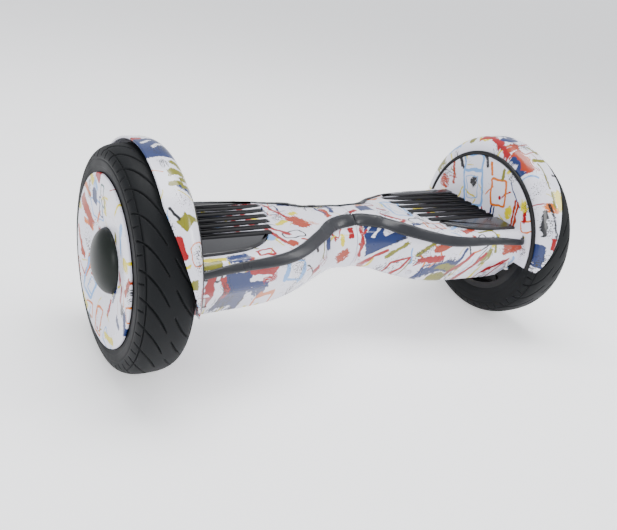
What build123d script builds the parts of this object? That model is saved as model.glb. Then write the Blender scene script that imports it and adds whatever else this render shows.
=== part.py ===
"""Self balancing hoverboard: two tilting halves on one pivot, each with a 10 inch hub-motor wheel.

Millimetres. X runs along the wheel axle, -Y is the front, +Z is up, and the origin is on the
ground midway between the wheels. Each sub-part is drawn for the right half (+X); the left half
is its mirror image. What only one half holds is drawn where it lies.
"""

from build123d import *
from math import radians, tan
import os

# ---- driving dimensions -------------------------------------------------------------------

# wheels
TYRE_R = 127.0            # 10 inch tyre
TYRE_W = 61.2
WHEEL_X = 276.8           # wheel mid-plane from the centre line
BEAD_R = 84.0             # where the tyre sits on the rim
TYRE_WALL = 7.0
SHOULDER_R = 104.0        # radius at which the tyre is widest
RIM_W = 54.0
RIM_WALL = 3.0
RIM_LIP = 6.0             # lips that hold the tyre's beads
COVER_R = 96.0            # printed hub cover
COVER_PROUD = 2.1         # its edge beyond the tyre's side
COVER_WALL = 2.4
CREASE_R = 80.0           # the cover's outer ring ends here and its dish begins
DISH_DEPTH = 7.0
CAP_R = 37.0
CAP_RISE = 17.0
CAP_WALL = 2.0
CAP_FOOT = 3.0            # width of the ring the cap stands on
CREASE_PROUD = 0.8        # the crease beyond the cover's edge
COVER_SPIGOT = 3.0        # thickness of the ring that seats the cover on the motor
AXLE_R = 8.5
BEARING_R = 17.5
BEARING_W = 10.0
STATOR_R = 70.0
STATOR_W = 15.0
AIR_GAP = 1.0
MAGNET_T = 5.4
MAGNETS = 30
MAGNET_SPACE = 2.5
STATOR_SLOTS = 27
SLOT_W = 6.0
SLOT_DEPTH = 12.0
STATOR_WINDOWS = 5
WINDOW_RING = 33.0
WINDOW_R = 11.0

# body halves
BODY_END = 239.0
SEAM_GAP = 1.2            # between the two halves
WALL = 2.8
PIVOT_Z = 131.0
WAIST_R = 39.5
WAIST_ROUND = 0.96        # share of the waist's section that is round
DECK_Z = 158.0
DECK_HALF = 96.0          # half depth at the deck's edge
FACE_LEAN = 3.0           # the face runs in by this much at the crease
CREASE_Z = 121.5
BELLY_Z = 73.0
BELLY_HALF = 52.0
DECK_CORNER_R = 14.0
CREASE_CORNER_R = 22.0
BELLY_CORNER_R = 18.0
# shares of the way from the round waist to the full body, at equal steps from centre to end
FLARE = (0.0, 0.09, 0.48, 0.76, 0.88, 0.955, 1.0)
SETTLE = (0.0, 0.16, 0.60, 0.88, 0.97, 1.0, 1.0)
# bumper strip: height of its middle line and its width at the same steps
STRIP_Z = (165.2, 162.0, 156.0, 151.0, 150.0, 149.5, 146.0)
STRIP_W = (17.6, 17.2, 16.0, 14.4, 12.0, 10.0, 8.0)
STRIP_PROUD = 3.2
STRIP_END_GAP = 0.5

# wheel arch
PANEL_T = 3.0
PANEL_R = 107.2
TRIM_W = 5.8
TRIM_PROUD = 1.0
TRIM_GAP = 0.2
FENDER_WALL = 3.0
FENDER_R = 134.5
FENDER_CURVE = 21.0       # how far out the crown takes to turn from the ring to flat
FENDER_EDGE = 280.5       # outer edge over the top of the wheel
ARCH_FOOT = 15.0          # the arch ends this far below the axle
FLANGE_T = 2.0

# foot pad
PAD_RISE = 3.5            # bars above the deck
BAR_PITCH = 15.7
BAR_W = 11.0
BARS = 6
FIRST_BAR_Y = 51.0
FIRST_TIP_X = 96.7
TIP_SLOPE = 0.13
TIP_BEND = 0.0021
PAD_END_GAP = 3.0
PAD_BASE_T = 2.4
PAD_CLEAR = 0.3
SLOT_CLEAR = 0.5
PAD_TRAVEL = 1.2
BASE_LIP = 4.0
FRONT_CRESCENT = ((130, -37), (141, -51), (160, -64), (190, -72), (236, -75))
REAR_CRESCENT = ((104, 60), (122, 66), (150, 70.5), (190, 73.5), (236, 74.5))

# chassis and what it carries
PLATE_TOP_Z = 96.0
PLATE_T = 6.0
PLATE_HALF = 44.0
PLATE_START = 56.0
PLATE_WIDE_X = 112.0
PLATE_TIP_HALF = 14.0     # half width at the end by the pivot
GUSSET_T = 14.0
GUSSET_SET = 22.0         # the gusset starts this far along the pivot's housing
GUSSET_RUN = 20.0
SHAFT_R = 11.0
SHAFT_BORE_R = 4.2
LINK_CABLE_R = 3.7
BUSH_WALL = 3.0
BUSH_L = 16.0
BUSH_FLANGE_R = 18.0
BUSH_FLANGE_T = 2.0
HOUSING_R = 21.0
HOUSING_START = 2.0
HOUSING_END = 66.0
SHAFT_OVERRUN = 7.0
CIRCLIP_T = 1.3
CIRCLIP_R = 14.0
SADDLE_X = 190.0
SADDLE_END = 233.0
SADDLE_HALF = 22.0
CLAMP_H = 18.0
CLAMP_GAP = 0.6
CLAMP_SCREW_R = 2.5
CLAMP_HEAD_R = 4.25
CLAMP_HEAD_T = 4.0
HEX_FLOOR = 1.0           # metal left under the hexagon in the head
CLAMP_SCREWS = ((SADDLE_X + 9, 15), (SADDLE_END - 9, 15))
FIT = 0.05                # radial running clearance
LOOSE = 0.3               # clearance of what slips past its neighbour
BOARD_T = 1.6
BOARD_Z = 142.0
POST_R = 3.5
BOARD_POSTS = ((178, 38), (86, 20))
BOARD_OUTLINE = ((80, 26), (110, 44), (184, 44))
TREAD_SWITCHES = ((132, 30), (170, 30))
SWITCH_R = 5.0
CHIP_T = 2.0
BATTERY = (68.0, 84.0, 42.0)
BATTERY_X = 126.0
BATTERY_Y = 0.0
STRAP_T = 1.5
STRAP_W = 16.0
STANDOFF_H = 8.0
MAIN_BOARD = (76.0, 80.0)
MAIN_BOARD_X = 132.0
MAIN_POSTS = ((100, 30), (164, 36))
HEAT_SINK = (30.0, 50.0)
HEAT_SINK_X = 140.0
CAPACITOR_R = 5.0
CAPACITOR_H = 16.0
CAPACITOR_PITCH = 14.0
PLUG = (10.0, 18.0, 8.0)
CABLE_R = 3.5
CABLE_BEND = 9.0

# fasteners
SCREW_R = 2.0
SCREW_HEAD_R = 3.8
SCREW_HEAD_T = 2.6
BOSS_R = 6.0
BOSS_SPLIT_Z = 118.0
SCREW_GRIP = 14.0         # thread above the joint
SHELL_SCREW_SEAT = BOSS_SPLIT_Z - 12.0
CHASSIS_SCREW_SEAT = BELLY_Z + 6.0
SHELL_SCREWS = ((84, 50), (226, 86.5))
CHASSIS_SCREWS = ((116, 34), (212, 34))

# ports on the back of the right half
PORT_Z = 130.0
PORT_FLOOR_Y = 80.5
PORT_HALF_H = 12.0
PORT_RIM = 2.2
PORT_END_ROOM = 8.0       # room past the socket for the cap to swing
BUTTON_X = 147.0
BUTTON_R = 7.5
BUTTON_L = 6.0
BUTTON_TRAVEL = 1.2
SOCKET_X = 177.0
SOCKET_R = 8.0
SOCKET_BORE_R = 6.0
SOCKET_BORE_L = 12.0
SOCKET_L = 16.0
LID_R = 9.3
LID_T = 2.2
LID_STRAP_W = 8.0
CONTACT_R = 0.8
CONTACT_RING = 2.6
CONTACT_DEPTH = 3.0
LID_BARREL_R = 1.2

# ---- worked-out places --------------------------------------------------------------------

AXLE_Z = TYRE_R
AXLE = Axis((0, 0, AXLE_Z), (1, 0, 0))
TYRE_IN = WHEEL_X - TYRE_W / 2
TYRE_OUT = WHEEL_X + TYRE_W / 2
PANEL_OUT = BODY_END + PANEL_T
TRIM_R0 = PANEL_R + TRIM_GAP
TRIM_R1 = TRIM_R0 + TRIM_W
FENDER_R0 = TRIM_R1 + TRIM_GAP
FLANGE_X = PANEL_OUT + TRIM_GAP
RIM_IN = WHEEL_X - RIM_W / 2
RIM_OUT = WHEEL_X + RIM_W / 2
ROTOR_FACE = RIM_OUT - 4.5              # outside of the motor's outer plate
ROTOR_PLATE_T = 3.0
DRUM_R = BEAD_R - RIM_WALL
MAGNET_R0 = STATOR_R + AIR_GAP
MAGNET_R1 = MAGNET_R0 + MAGNET_T
STATOR_OUT = ROTOR_FACE - ROTOR_PLATE_T - BEARING_W + 2.0
STATOR_IN = STATOR_OUT - STATOR_W
LID_FACE = STATOR_IN - 3.0              # inside of the motor's lid
LID_PLATE_T = 3.0
BEARING_OUT_X = ROTOR_FACE - 1.0        # outer end of the outer bearing
BEARING_IN_X = LID_FACE - LID_PLATE_T - BEARING_W + 2.0
COVER_EDGE = TYRE_OUT + COVER_PROUD
DISH_X = COVER_EDGE - DISH_DEPTH
STEP = BODY_END / (len(FLARE) - 1)
DECK_IN_Z = DECK_Z - WALL
PAD_BASE_TOP = DECK_IN_Z - PAD_CLEAR
PAD_BASE_Z = PAD_BASE_TOP - PAD_BASE_T
BUSH_R = SHAFT_R + FIT + BUSH_WALL
SHAFT_END = HOUSING_END + SHAFT_OVERRUN

os.makedirs("parts", exist_ok=True)


def save(builder, name):
    """Label one sub-part and write it."""
    builder.part.label = name
    export_step(builder.part, f"parts/{name}.step")


def save_pair(builder, name):
    """Write the right-hand sub-part and its mirror image."""
    save(builder, f"{name}_right")
    with BuildPart() as left:
        mirror(builder.part, about=Plane.YZ)
    save(left, f"{name}_left")


def save_left(builder, name):
    """Write the mirror image of a sub-part that only the left half has."""
    with BuildPart() as left:
        mirror(builder.part, about=Plane.YZ)
    save(left, name)


def across_x(x):
    """Plane normal to the axle, with sketch x along +Y and sketch y up."""
    return Plane(origin=(x, 0, 0), x_dir=(0, 1, 0), z_dir=(1, 0, 0))


def side_on(y):
    """Plane facing the front, with sketch x along +X and sketch y up, extruding to +Y."""
    return Plane(origin=(0, y, 0), x_dir=(1, 0, 0), z_dir=(0, -1, 0))


# ---- the body's outside form ---------------------------------------------------------------

def mixed(low, high, share):
    return low + (high - low) * share


def corners(step, inset):
    """Front corners of the body's section at one step, each (half depth, height, radius)."""
    flare, settle = FLARE[step], SETTLE[step]
    waist_share = tan(radians(22.5))        # a circle's corner points, for the waist
    deck_half = mixed(WAIST_R, DECK_HALF, flare) - inset
    face_half = mixed(WAIST_R, DECK_HALF - FACE_LEAN, flare) - inset
    belly_half = mixed(WAIST_R * waist_share, BELLY_HALF, settle) - inset * waist_share
    top = mixed(PIVOT_Z + WAIST_R, DECK_Z, settle) - inset
    crease = mixed(PIVOT_Z - WAIST_R * waist_share, CREASE_Z, settle) + inset * waist_share
    belly = mixed(PIVOT_Z - WAIST_R, BELLY_Z, settle) + inset
    round_r = WAIST_R * WAIST_ROUND
    radius_a = mixed(round_r, DECK_CORNER_R, settle) - inset
    radius_b = mixed(round_r, CREASE_CORNER_R, settle) - inset
    radius_c = mixed(round_r, BELLY_CORNER_R, settle) - inset
    return top, belly, ((deck_half, top, radius_a), (face_half, crease, radius_b), (belly_half, belly, radius_c))


def front_outline(step, inset):
    """Front half of the body's section at one step, from the top middle to the bottom middle."""
    top, belly, bends = corners(step, inset)
    with BuildLine() as half:
        FilletPolyline((0, top), *[(-y, z) for y, z, _ in bends], (0, belly), radius=[r for _, _, r in bends])
    return half.wires()[0]


def body_form(inset, start, end):
    """Solid of the body's outside, taken in by inset, from start to end along X."""
    with BuildPart() as form:
        for step in range(len(FLARE)):
            x = start if step == 0 else end if step == len(FLARE) - 1 else step * STEP
            with BuildSketch(across_x(x)):
                with BuildLine():
                    add(front_outline(step, inset))
                    mirror(about=Plane.YZ)
                make_face()
        loft()
    return form.part


def strip_edge(offset):
    """Points (x, z) along the strip, offset by a share of its width across it, on the surface."""
    edge = []
    for step, middle_z in enumerate(STRIP_Z):
        outline = front_outline(step, 0)
        above, below = 0.0, outline.length
        while below - above > 0.01:
            middle = (above + below) / 2
            if outline.position_at(middle, position_mode=PositionMode.LENGTH).Y > middle_z:
                above = middle
            else:
                below = middle
        at = outline.position_at(middle + offset * STRIP_W[step], position_mode=PositionMode.LENGTH)
        edge.append((step * STEP, at.Y))
    return edge


OVERRUN = 5.0             # how far cutters run past what they cut
body_outside = body_form(0, SEAM_GAP / 2, BODY_END)
body_inside = body_form(WALL, SEAM_GAP / 2 - OVERRUN, BODY_END + OVERRUN)
TALL = 400.0              # beyond everything

with BuildPart() as above_seam:
    with BuildSketch(side_on(TALL)):
        with BuildLine():
            seam = Spline(*[(x, z) for x, z in strip_edge(0)])
            Polyline(seam @ 1, (BODY_END + OVERRUN, STRIP_Z[-1]), (BODY_END + OVERRUN, TALL),
                     (0, TALL), seam @ 0)
        make_face()
    extrude(amount=2 * TALL)


def pairs(screws):
    """Both sides of the body for each screw place."""
    return [(x, side * y) for x, y in screws for side in (1, -1)]


def posts(screws, z0, z1):
    """Round posts at the screw places."""
    with BuildPart() as group:
        with BuildSketch(Plane.XY.offset(z0)):
            with Locations(*pairs(screws)):
                Circle(BOSS_R)
        extrude(amount=z1 - z0)
    return group.part


def screw_holes(screws, radius, z0, z1):
    """Round rods at the screw places, for holes, heads and shanks."""
    with BuildPart() as group:
        with BuildSketch(Plane.XY.offset(z0)):
            with Locations(*pairs(screws)):
                Circle(radius)
        extrude(amount=z1 - z0)
    return group.part


def bar_rows():
    """(tip x, y) of each straight bar of the foot pad, from the back."""
    rows = []
    for row in range(BARS):
        down = row * BAR_PITCH
        rows.append((FIRST_TIP_X + TIP_SLOPE * down + TIP_BEND * down ** 2, FIRST_BAR_Y - down))
    return rows


PAD_END = BODY_END - PAD_END_GAP


def pad_faces(grow):
    """Draw the bars and crescents of the foot pad in the open sketch, grown by a clearance."""
    for tip_x, y in bar_rows():
        with Locations(((tip_x + PAD_END) / 2, y)):
            RectangleRounded(PAD_END - tip_x + 2 * grow, BAR_W + 2 * grow, BAR_W / 3)
    for edge, outward in ((FRONT_CRESCENT, -1), (REAR_CRESCENT, 1)):
        (tip_x, tip_y), *bends, (_, end_y) = edge
        back_y = tip_y - outward * grow
        end_x = PAD_END + grow
        with BuildSketch(mode=Mode.PRIVATE) as crescent:
            with BuildLine():
                curve = Spline((tip_x - 3 * grow, back_y), *[(x - grow, y + outward * grow) for x, y in bends],
                               (end_x, end_y + outward * grow))
                Polyline(curve @ 1, (end_x, back_y), curve @ 0)
            make_face()
        add(crescent.sketch)


def pad_base(z, height, grow):
    """Plate under the bars, grown by a clearance."""
    lip = BASE_LIP + grow
    with BuildPart() as plate:
        with BuildSketch(Plane.XY.offset(z)):
            with BuildLine():
                front = Spline(*[(x - lip, y - lip / 2) for x, y in FRONT_CRESCENT[:-1]],
                               (PAD_END + grow, FRONT_CRESCENT[-1][1] - lip / 2))
                rear = Spline(*[(x - lip, y + lip / 2) for x, y in REAR_CRESCENT[:-1]],
                              (PAD_END + grow, REAR_CRESCENT[-1][1] + lip / 2))
                Line(front @ 1, rear @ 1)
                Spline(rear @ 0, *[(x - lip, y) for x, y in bar_rows()], front @ 0)
            make_face()
        extrude(amount=height)
    return plate.part


# ---- shells -------------------------------------------------------------------------------

# The posts and the port's well are left standing when the inside is taken out.
with BuildPart() as upper_hollow:
    add(body_inside)
    add(posts(SHELL_SCREWS, BOSS_SPLIT_Z, TALL), mode=Mode.SUBTRACT)

with BuildPart() as upper_zone:
    add(above_seam.part)
    add(posts(SHELL_SCREWS, BOSS_SPLIT_Z, TALL / 2))

with BuildPart() as upper_shell:
    add(body_outside)
    add(upper_zone.part, mode=Mode.INTERSECT)
    add(upper_hollow.part, mode=Mode.SUBTRACT)
    with BuildSketch(Plane.XY.offset(PAD_BASE_Z - PAD_TRAVEL)):
        pad_faces(SLOT_CLEAR)
    extrude(amount=TALL, mode=Mode.SUBTRACT)
    pocket_z = PAD_BASE_Z - PAD_TRAVEL - 2 * PAD_CLEAR
    add(pad_base(pocket_z, DECK_IN_Z - pocket_z, SLOT_CLEAR), mode=Mode.SUBTRACT)
    add(screw_holes(SHELL_SCREWS, SCREW_R + FIT, 0, BOSS_SPLIT_Z + SCREW_GRIP), mode=Mode.SUBTRACT)
save_pair(upper_shell, "upper_shell")

PORT_MIDDLE = (BUTTON_X + SOCKET_X + PORT_END_ROOM) / 2
PORT_SPREAD = SOCKET_X + PORT_END_ROOM - BUTTON_X


def port_slot(floor_y, half_h):
    """Rounded slot that runs from a floor out through the back of the body."""
    with BuildPart() as slot:
        with BuildSketch(side_on(floor_y)):
            with Locations((PORT_MIDDLE, PORT_Z)):
                SlotCenterToCenter(PORT_SPREAD, 2 * half_h)
        extrude(amount=-TALL)
    return slot.part


def lower_shell(with_port):
    with BuildPart() as hollow:
        add(body_inside)
        add(posts(SHELL_SCREWS, 0, BOSS_SPLIT_Z), mode=Mode.SUBTRACT)
        add(posts(CHASSIS_SCREWS, 0, PLATE_TOP_Z - PLATE_T), mode=Mode.SUBTRACT)
        if with_port:
            add(port_slot(PORT_FLOOR_Y - PORT_RIM, PORT_HALF_H + PORT_RIM), mode=Mode.SUBTRACT)
    with BuildPart() as shell:
        add(body_outside)
        add(upper_zone.part, mode=Mode.SUBTRACT)
        add(hollow.part, mode=Mode.SUBTRACT)
        for screws, seat in ((SHELL_SCREWS, SHELL_SCREW_SEAT), (CHASSIS_SCREWS, CHASSIS_SCREW_SEAT)):
            add(screw_holes(screws, SCREW_HEAD_R + LOOSE, 0, seat), mode=Mode.SUBTRACT)
            add(screw_holes(screws, SCREW_R + FIT, 0, BOSS_SPLIT_Z + 1), mode=Mode.SUBTRACT)
        if with_port:
            add(port_slot(PORT_FLOOR_Y, PORT_HALF_H), mode=Mode.SUBTRACT)
            with BuildSketch(side_on(PORT_FLOOR_Y)):
                with Locations((BUTTON_X, PORT_Z)):
                    Circle(BUTTON_R + LOOSE)
                with Locations((SOCKET_X, PORT_Z)):
                    Circle(SOCKET_R + FIT)
            extrude(amount=PORT_RIM + 1, mode=Mode.SUBTRACT)
    return shell


save(lower_shell(True), "lower_shell_right")
save_left(lower_shell(False), "lower_shell_left")

with BuildPart() as shell_screws:
    for screws, seat, tip in ((SHELL_SCREWS, SHELL_SCREW_SEAT, BOSS_SPLIT_Z + SCREW_GRIP),
                              (CHASSIS_SCREWS, CHASSIS_SCREW_SEAT, PLATE_TOP_Z)):
        add(screw_holes(screws, SCREW_HEAD_R, seat - SCREW_HEAD_T, seat))
        add(screw_holes(screws, SCREW_R, seat, tip))
save_pair(shell_screws, "shell_screws")


def bumper(front):
    """Half-round strip over the joint between the shells."""
    with BuildPart() as strip:
        with BuildSketch(side_on(0)):
            with BuildLine():
                top = Spline(*strip_edge(-0.5))
                bottom = Spline(*strip_edge(0.5))
                Line(top @ 0, bottom @ 0)
                Line(top @ 1, bottom @ 1)
            make_face()
        extrude(amount=TALL if front else -TALL)
        add(body_form(-STRIP_PROUD, SEAM_GAP / 2, BODY_END - STRIP_END_GAP), mode=Mode.INTERSECT)
        add(body_outside, mode=Mode.SUBTRACT)
    return strip


save_pair(bumper(True), "front_bumper")
save_pair(bumper(False), "rear_bumper")

# ---- wheel arch ---------------------------------------------------------------------------

with BuildPart() as side_panel:
    with BuildSketch(across_x(BODY_END)):
        with Locations((0, AXLE_Z)):
            Circle(PANEL_R)
        with Locations((0, AXLE_Z - ARCH_FOOT)):
            Rectangle(2 * TALL, TALL, align=(Align.CENTER, Align.MAX), mode=Mode.SUBTRACT)
        with BuildLine():
            add(front_outline(len(FLARE) - 1, 0))
            mirror(about=Plane.YZ)
        make_face()
        with Locations((0, AXLE_Z)):
            Circle(AXLE_R + LOOSE, mode=Mode.SUBTRACT)
    extrude(amount=PANEL_T)
save_pair(side_panel, "side_panel")


def over_arch(part):
    """Keep what lies above the arch's foot and inboard of its swept outer edge."""
    with BuildPart() as kept:
        with BuildSketch(side_on(TALL)):
            with BuildLine():
                foot = AXLE_Z - ARCH_FOOT
                edge = Spline((FENDER_EDGE, AXLE_Z + FENDER_R * 0.72), (FENDER_EDGE - 14, AXLE_Z + FENDER_R * 0.37),
                              (FENDER_EDGE - 30, AXLE_Z), (FENDER_EDGE - 35, foot),
                              tangents=((0, -1), (-0.2, -1)))
                Polyline(edge @ 1, (BODY_END - OVERRUN, foot), (BODY_END - OVERRUN, TALL),
                         (FENDER_EDGE, TALL), edge @ 0)
            make_face()
        extrude(amount=2 * TALL)
        add(part, mode=Mode.INTERSECT)
    return kept


with BuildPart() as fender_ring:
    with BuildSketch(Plane.XZ):
        crown_x = FLANGE_X + FENDER_CURVE
        flange_low = AXLE_Z + TRIM_R0 - 3
        with BuildLine():
            EllipticalCenterArc((crown_x, AXLE_Z + FENDER_R0), FENDER_CURVE, FENDER_R - FENDER_R0, 90, arc_size=90)
            Line((crown_x, AXLE_Z + FENDER_R), (FENDER_EDGE, AXLE_Z + FENDER_R))
            Line((FENDER_EDGE, AXLE_Z + FENDER_R), (FENDER_EDGE, AXLE_Z + FENDER_R - FENDER_WALL))
            Line((FENDER_EDGE, AXLE_Z + FENDER_R - FENDER_WALL), (crown_x, AXLE_Z + FENDER_R - FENDER_WALL))
            EllipticalCenterArc((crown_x, AXLE_Z + FENDER_R0), FENDER_CURVE - FENDER_WALL,
                                FENDER_R - FENDER_R0 - FENDER_WALL, 90, arc_size=90)
            Polyline((FLANGE_X + FENDER_WALL, AXLE_Z + FENDER_R0), (FLANGE_X + FLANGE_T, AXLE_Z + FENDER_R0),
                     (FLANGE_X + FLANGE_T, flange_low), (FLANGE_X, flange_low), (FLANGE_X, AXLE_Z + FENDER_R0))
        make_face()
    revolve(axis=AXLE)
save_pair(over_arch(fender_ring.part), "fender")

with BuildPart() as trim_ring:
    with BuildSketch(across_x(BODY_END - TRIM_PROUD)):
        with Locations((0, AXLE_Z)):
            Circle(TRIM_R1)
            Circle(TRIM_R0, mode=Mode.SUBTRACT)
    extrude(amount=PANEL_T + TRIM_PROUD)
save_pair(over_arch(trim_ring.part), "fender_trim")

# ---- foot pad -----------------------------------------------------------------------------

with BuildPart() as foot_pad:
    with BuildSketch(Plane.XY.offset(PAD_BASE_TOP)):
        pad_faces(0)
    extrude(amount=DECK_Z + PAD_RISE - PAD_BASE_TOP)
    add(pad_base(PAD_BASE_Z, PAD_BASE_T, 0))
save_pair(foot_pad, "foot_pad")

# ---- wheel --------------------------------------------------------------------------------


def ring(x0, x1, r0, r1):
    """Plain ring about the axle."""
    with BuildPart() as band:
        with BuildSketch(across_x(x0)):
            with Locations((0, AXLE_Z)):
                Circle(r1)
                Circle(r0, mode=Mode.SUBTRACT)
        extrude(amount=x1 - x0)
    return band.part


def tyre_profile(half_w, top_r, low_r, foot_half_w, foot_r):
    """Closed outline of a tyre-like section, in the plane through the axle."""
    with BuildSketch(Plane.XZ) as profile:
        with BuildLine():
            side = Spline((WHEEL_X - foot_half_w, AXLE_Z + foot_r), (WHEEL_X - half_w, AXLE_Z + low_r),
                          (WHEEL_X - half_w * 0.62, AXLE_Z + mixed(low_r, top_r, 0.89)),
                          (WHEEL_X, AXLE_Z + top_r), tangents=((-0.2, 1), (1, 0)))
            mirror(side, about=Plane.YZ.offset(WHEEL_X))
            Line(side @ 0, (WHEEL_X + foot_half_w, AXLE_Z + foot_r))
        make_face()
    return profile.sketch


TUBE_GAP = 0.3
TUBE_WALL = 1.8
BEAD_OPENING = 15.0
BEAD_DEPTH = 5.0
with BuildPart() as tyre:
    add(tyre_profile(TYRE_W / 2, TYRE_R, SHOULDER_R, RIM_W / 2 - RIM_WALL - LOOSE, BEAD_R + FIT))
    revolve(axis=AXLE)
    add(tyre_profile(TYRE_W / 2 - TYRE_WALL, TYRE_R - TYRE_WALL, SHOULDER_R, BEAD_OPENING, BEAD_R + BEAD_DEPTH))
    revolve(axis=AXLE, mode=Mode.SUBTRACT)
    add(ring(WHEEL_X - BEAD_OPENING, WHEEL_X + BEAD_OPENING, BEAD_R - 1, BEAD_R + BEAD_DEPTH + 1), mode=Mode.SUBTRACT)
    for start in (RIM_IN - OVERRUN, RIM_OUT - RIM_WALL - FIT):
        add(ring(start, start + RIM_WALL + OVERRUN + FIT, BEAD_R - 1, BEAD_R + RIM_LIP + FIT), mode=Mode.SUBTRACT)
save_pair(tyre, "tyre")


def tube_profile(inset):
    return tyre_profile(TYRE_W / 2 - TYRE_WALL - inset, TYRE_R - TYRE_WALL - inset, SHOULDER_R,
                        BEAD_OPENING - inset, BEAD_R + BEAD_DEPTH + inset)


with BuildPart() as inner_tube:
    add(tube_profile(TUBE_GAP))
    revolve(axis=AXLE)
    add(ring(WHEEL_X - BEAD_OPENING + TUBE_GAP, WHEEL_X + BEAD_OPENING - TUBE_GAP,
             BEAD_R + TUBE_GAP, BEAD_R + BEAD_DEPTH + TUBE_WALL))
    add(tube_profile(TUBE_GAP + TUBE_WALL))
    revolve(axis=AXLE, mode=Mode.SUBTRACT)
save_pair(inner_tube, "inner_tube")

BOSS_WALL = 5.0
LID_SCREWS = 6
with BuildPart() as wheel_rim:
    add(ring(RIM_IN, RIM_OUT, DRUM_R, BEAD_R))
    add(ring(RIM_IN, RIM_IN + RIM_WALL, DRUM_R, BEAD_R + RIM_LIP))
    add(ring(RIM_OUT - RIM_WALL, RIM_OUT, DRUM_R, BEAD_R + RIM_LIP))
    add(ring(LID_FACE, ROTOR_FACE, MAGNET_R1 + FIT, DRUM_R))
    add(ring(ROTOR_FACE - ROTOR_PLATE_T, ROTOR_FACE, BEARING_R + FIT, DRUM_R))
    add(ring(BEARING_OUT_X - BEARING_W, ROTOR_FACE, BEARING_R + FIT, BEARING_R + BOSS_WALL))
save_pair(wheel_rim, "wheel_rim")

with BuildPart() as motor_lid:
    add(ring(LID_FACE - LID_PLATE_T, LID_FACE, BEARING_R + FIT, DRUM_R - LOOSE))
    add(ring(BEARING_IN_X, LID_FACE, BEARING_R + FIT, BEARING_R + BOSS_WALL))
    with BuildSketch(across_x(LID_FACE - LID_PLATE_T - SCREW_HEAD_T)):
        with Locations((0, AXLE_Z)):
            with PolarLocations(DRUM_R - 5, LID_SCREWS):
                Circle(SCREW_HEAD_R)
    extrude(amount=SCREW_HEAD_T)
save_pair(motor_lid, "motor_lid")

with BuildPart() as magnets:
    with BuildSketch(across_x(STATOR_IN)):
        with Locations((0, AXLE_Z)):
            Circle(MAGNET_R1)
            Circle(MAGNET_R0, mode=Mode.SUBTRACT)
            with PolarLocations(MAGNET_R1, MAGNETS):
                Rectangle(4 * MAGNET_T, MAGNET_SPACE, mode=Mode.SUBTRACT)
    extrude(amount=STATOR_W)
save_pair(magnets, "rotor_magnets")

with BuildPart() as stator:
    with BuildSketch(across_x(STATOR_IN)):
        with Locations((0, AXLE_Z)):
            Circle(STATOR_R)
            with PolarLocations(STATOR_R, STATOR_SLOTS):
                Rectangle(2 * SLOT_DEPTH, SLOT_W, mode=Mode.SUBTRACT)
            Circle(AXLE_R + FIT, mode=Mode.SUBTRACT)
            with PolarLocations(WINDOW_RING, STATOR_WINDOWS):
                Circle(WINDOW_R, mode=Mode.SUBTRACT)
    extrude(amount=STATOR_W)
save_pair(stator, "stator")

with BuildPart() as bearings:
    add(ring(BEARING_OUT_X - BEARING_W, BEARING_OUT_X, AXLE_R + FIT, BEARING_R))
    add(ring(BEARING_IN_X, BEARING_IN_X + BEARING_W, AXLE_R + FIT, BEARING_R))
save_pair(bearings, "wheel_bearings")

AXLE_START = SADDLE_X - 4
with BuildPart() as axle:
    with BuildSketch(across_x(AXLE_START)):
        with Locations((0, AXLE_Z)):
            Circle(AXLE_R)
            Circle(CABLE_R + LOOSE, mode=Mode.SUBTRACT)
    extrude(amount=BEARING_OUT_X - AXLE_START)
save_pair(axle, "axle")

with BuildPart() as hub_cover:
    with BuildSketch(Plane.XZ):
        with BuildLine():
            Polyline((DISH_X, AXLE_Z + CAP_R), (COVER_EDGE + CREASE_PROUD, AXLE_Z + CREASE_R),
                     (COVER_EDGE, AXLE_Z + COVER_R), (COVER_EDGE - COVER_WALL, AXLE_Z + COVER_R),
                     (COVER_EDGE - COVER_WALL, AXLE_Z + CREASE_R), (ROTOR_FACE, AXLE_Z + CREASE_R),
                     (ROTOR_FACE, AXLE_Z + CREASE_R - COVER_SPIGOT),
                     (COVER_EDGE - COVER_WALL - CREASE_PROUD, AXLE_Z + CREASE_R - COVER_SPIGOT),
                     (DISH_X - COVER_WALL, AXLE_Z + CAP_R), (DISH_X, AXLE_Z + CAP_R))
        make_face()
    revolve(axis=AXLE)
save_pair(hub_cover, "hub_cover")

with BuildPart() as centre_cap:
    with BuildSketch(Plane.XZ):
        with BuildLine():
            EllipticalCenterArc((DISH_X, AXLE_Z), CAP_RISE, CAP_R - FIT, 0, arc_size=90)
            EllipticalCenterArc((DISH_X, AXLE_Z), CAP_RISE - CAP_WALL, CAP_R - CAP_FOOT, 0, arc_size=90)
            Polyline((DISH_X, AXLE_Z + CAP_R - FIT), (DISH_X - COVER_WALL, AXLE_Z + CAP_R - FIT),
                     (DISH_X - COVER_WALL, AXLE_Z + CAP_R - CAP_FOOT), (DISH_X, AXLE_Z + CAP_R - CAP_FOOT))
            Line((DISH_X + CAP_RISE - CAP_WALL, AXLE_Z), (DISH_X + CAP_RISE, AXLE_Z))
        make_face()
    revolve(axis=AXLE)
save_pair(centre_cap, "centre_cap")

# ---- chassis ------------------------------------------------------------------------------


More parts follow.
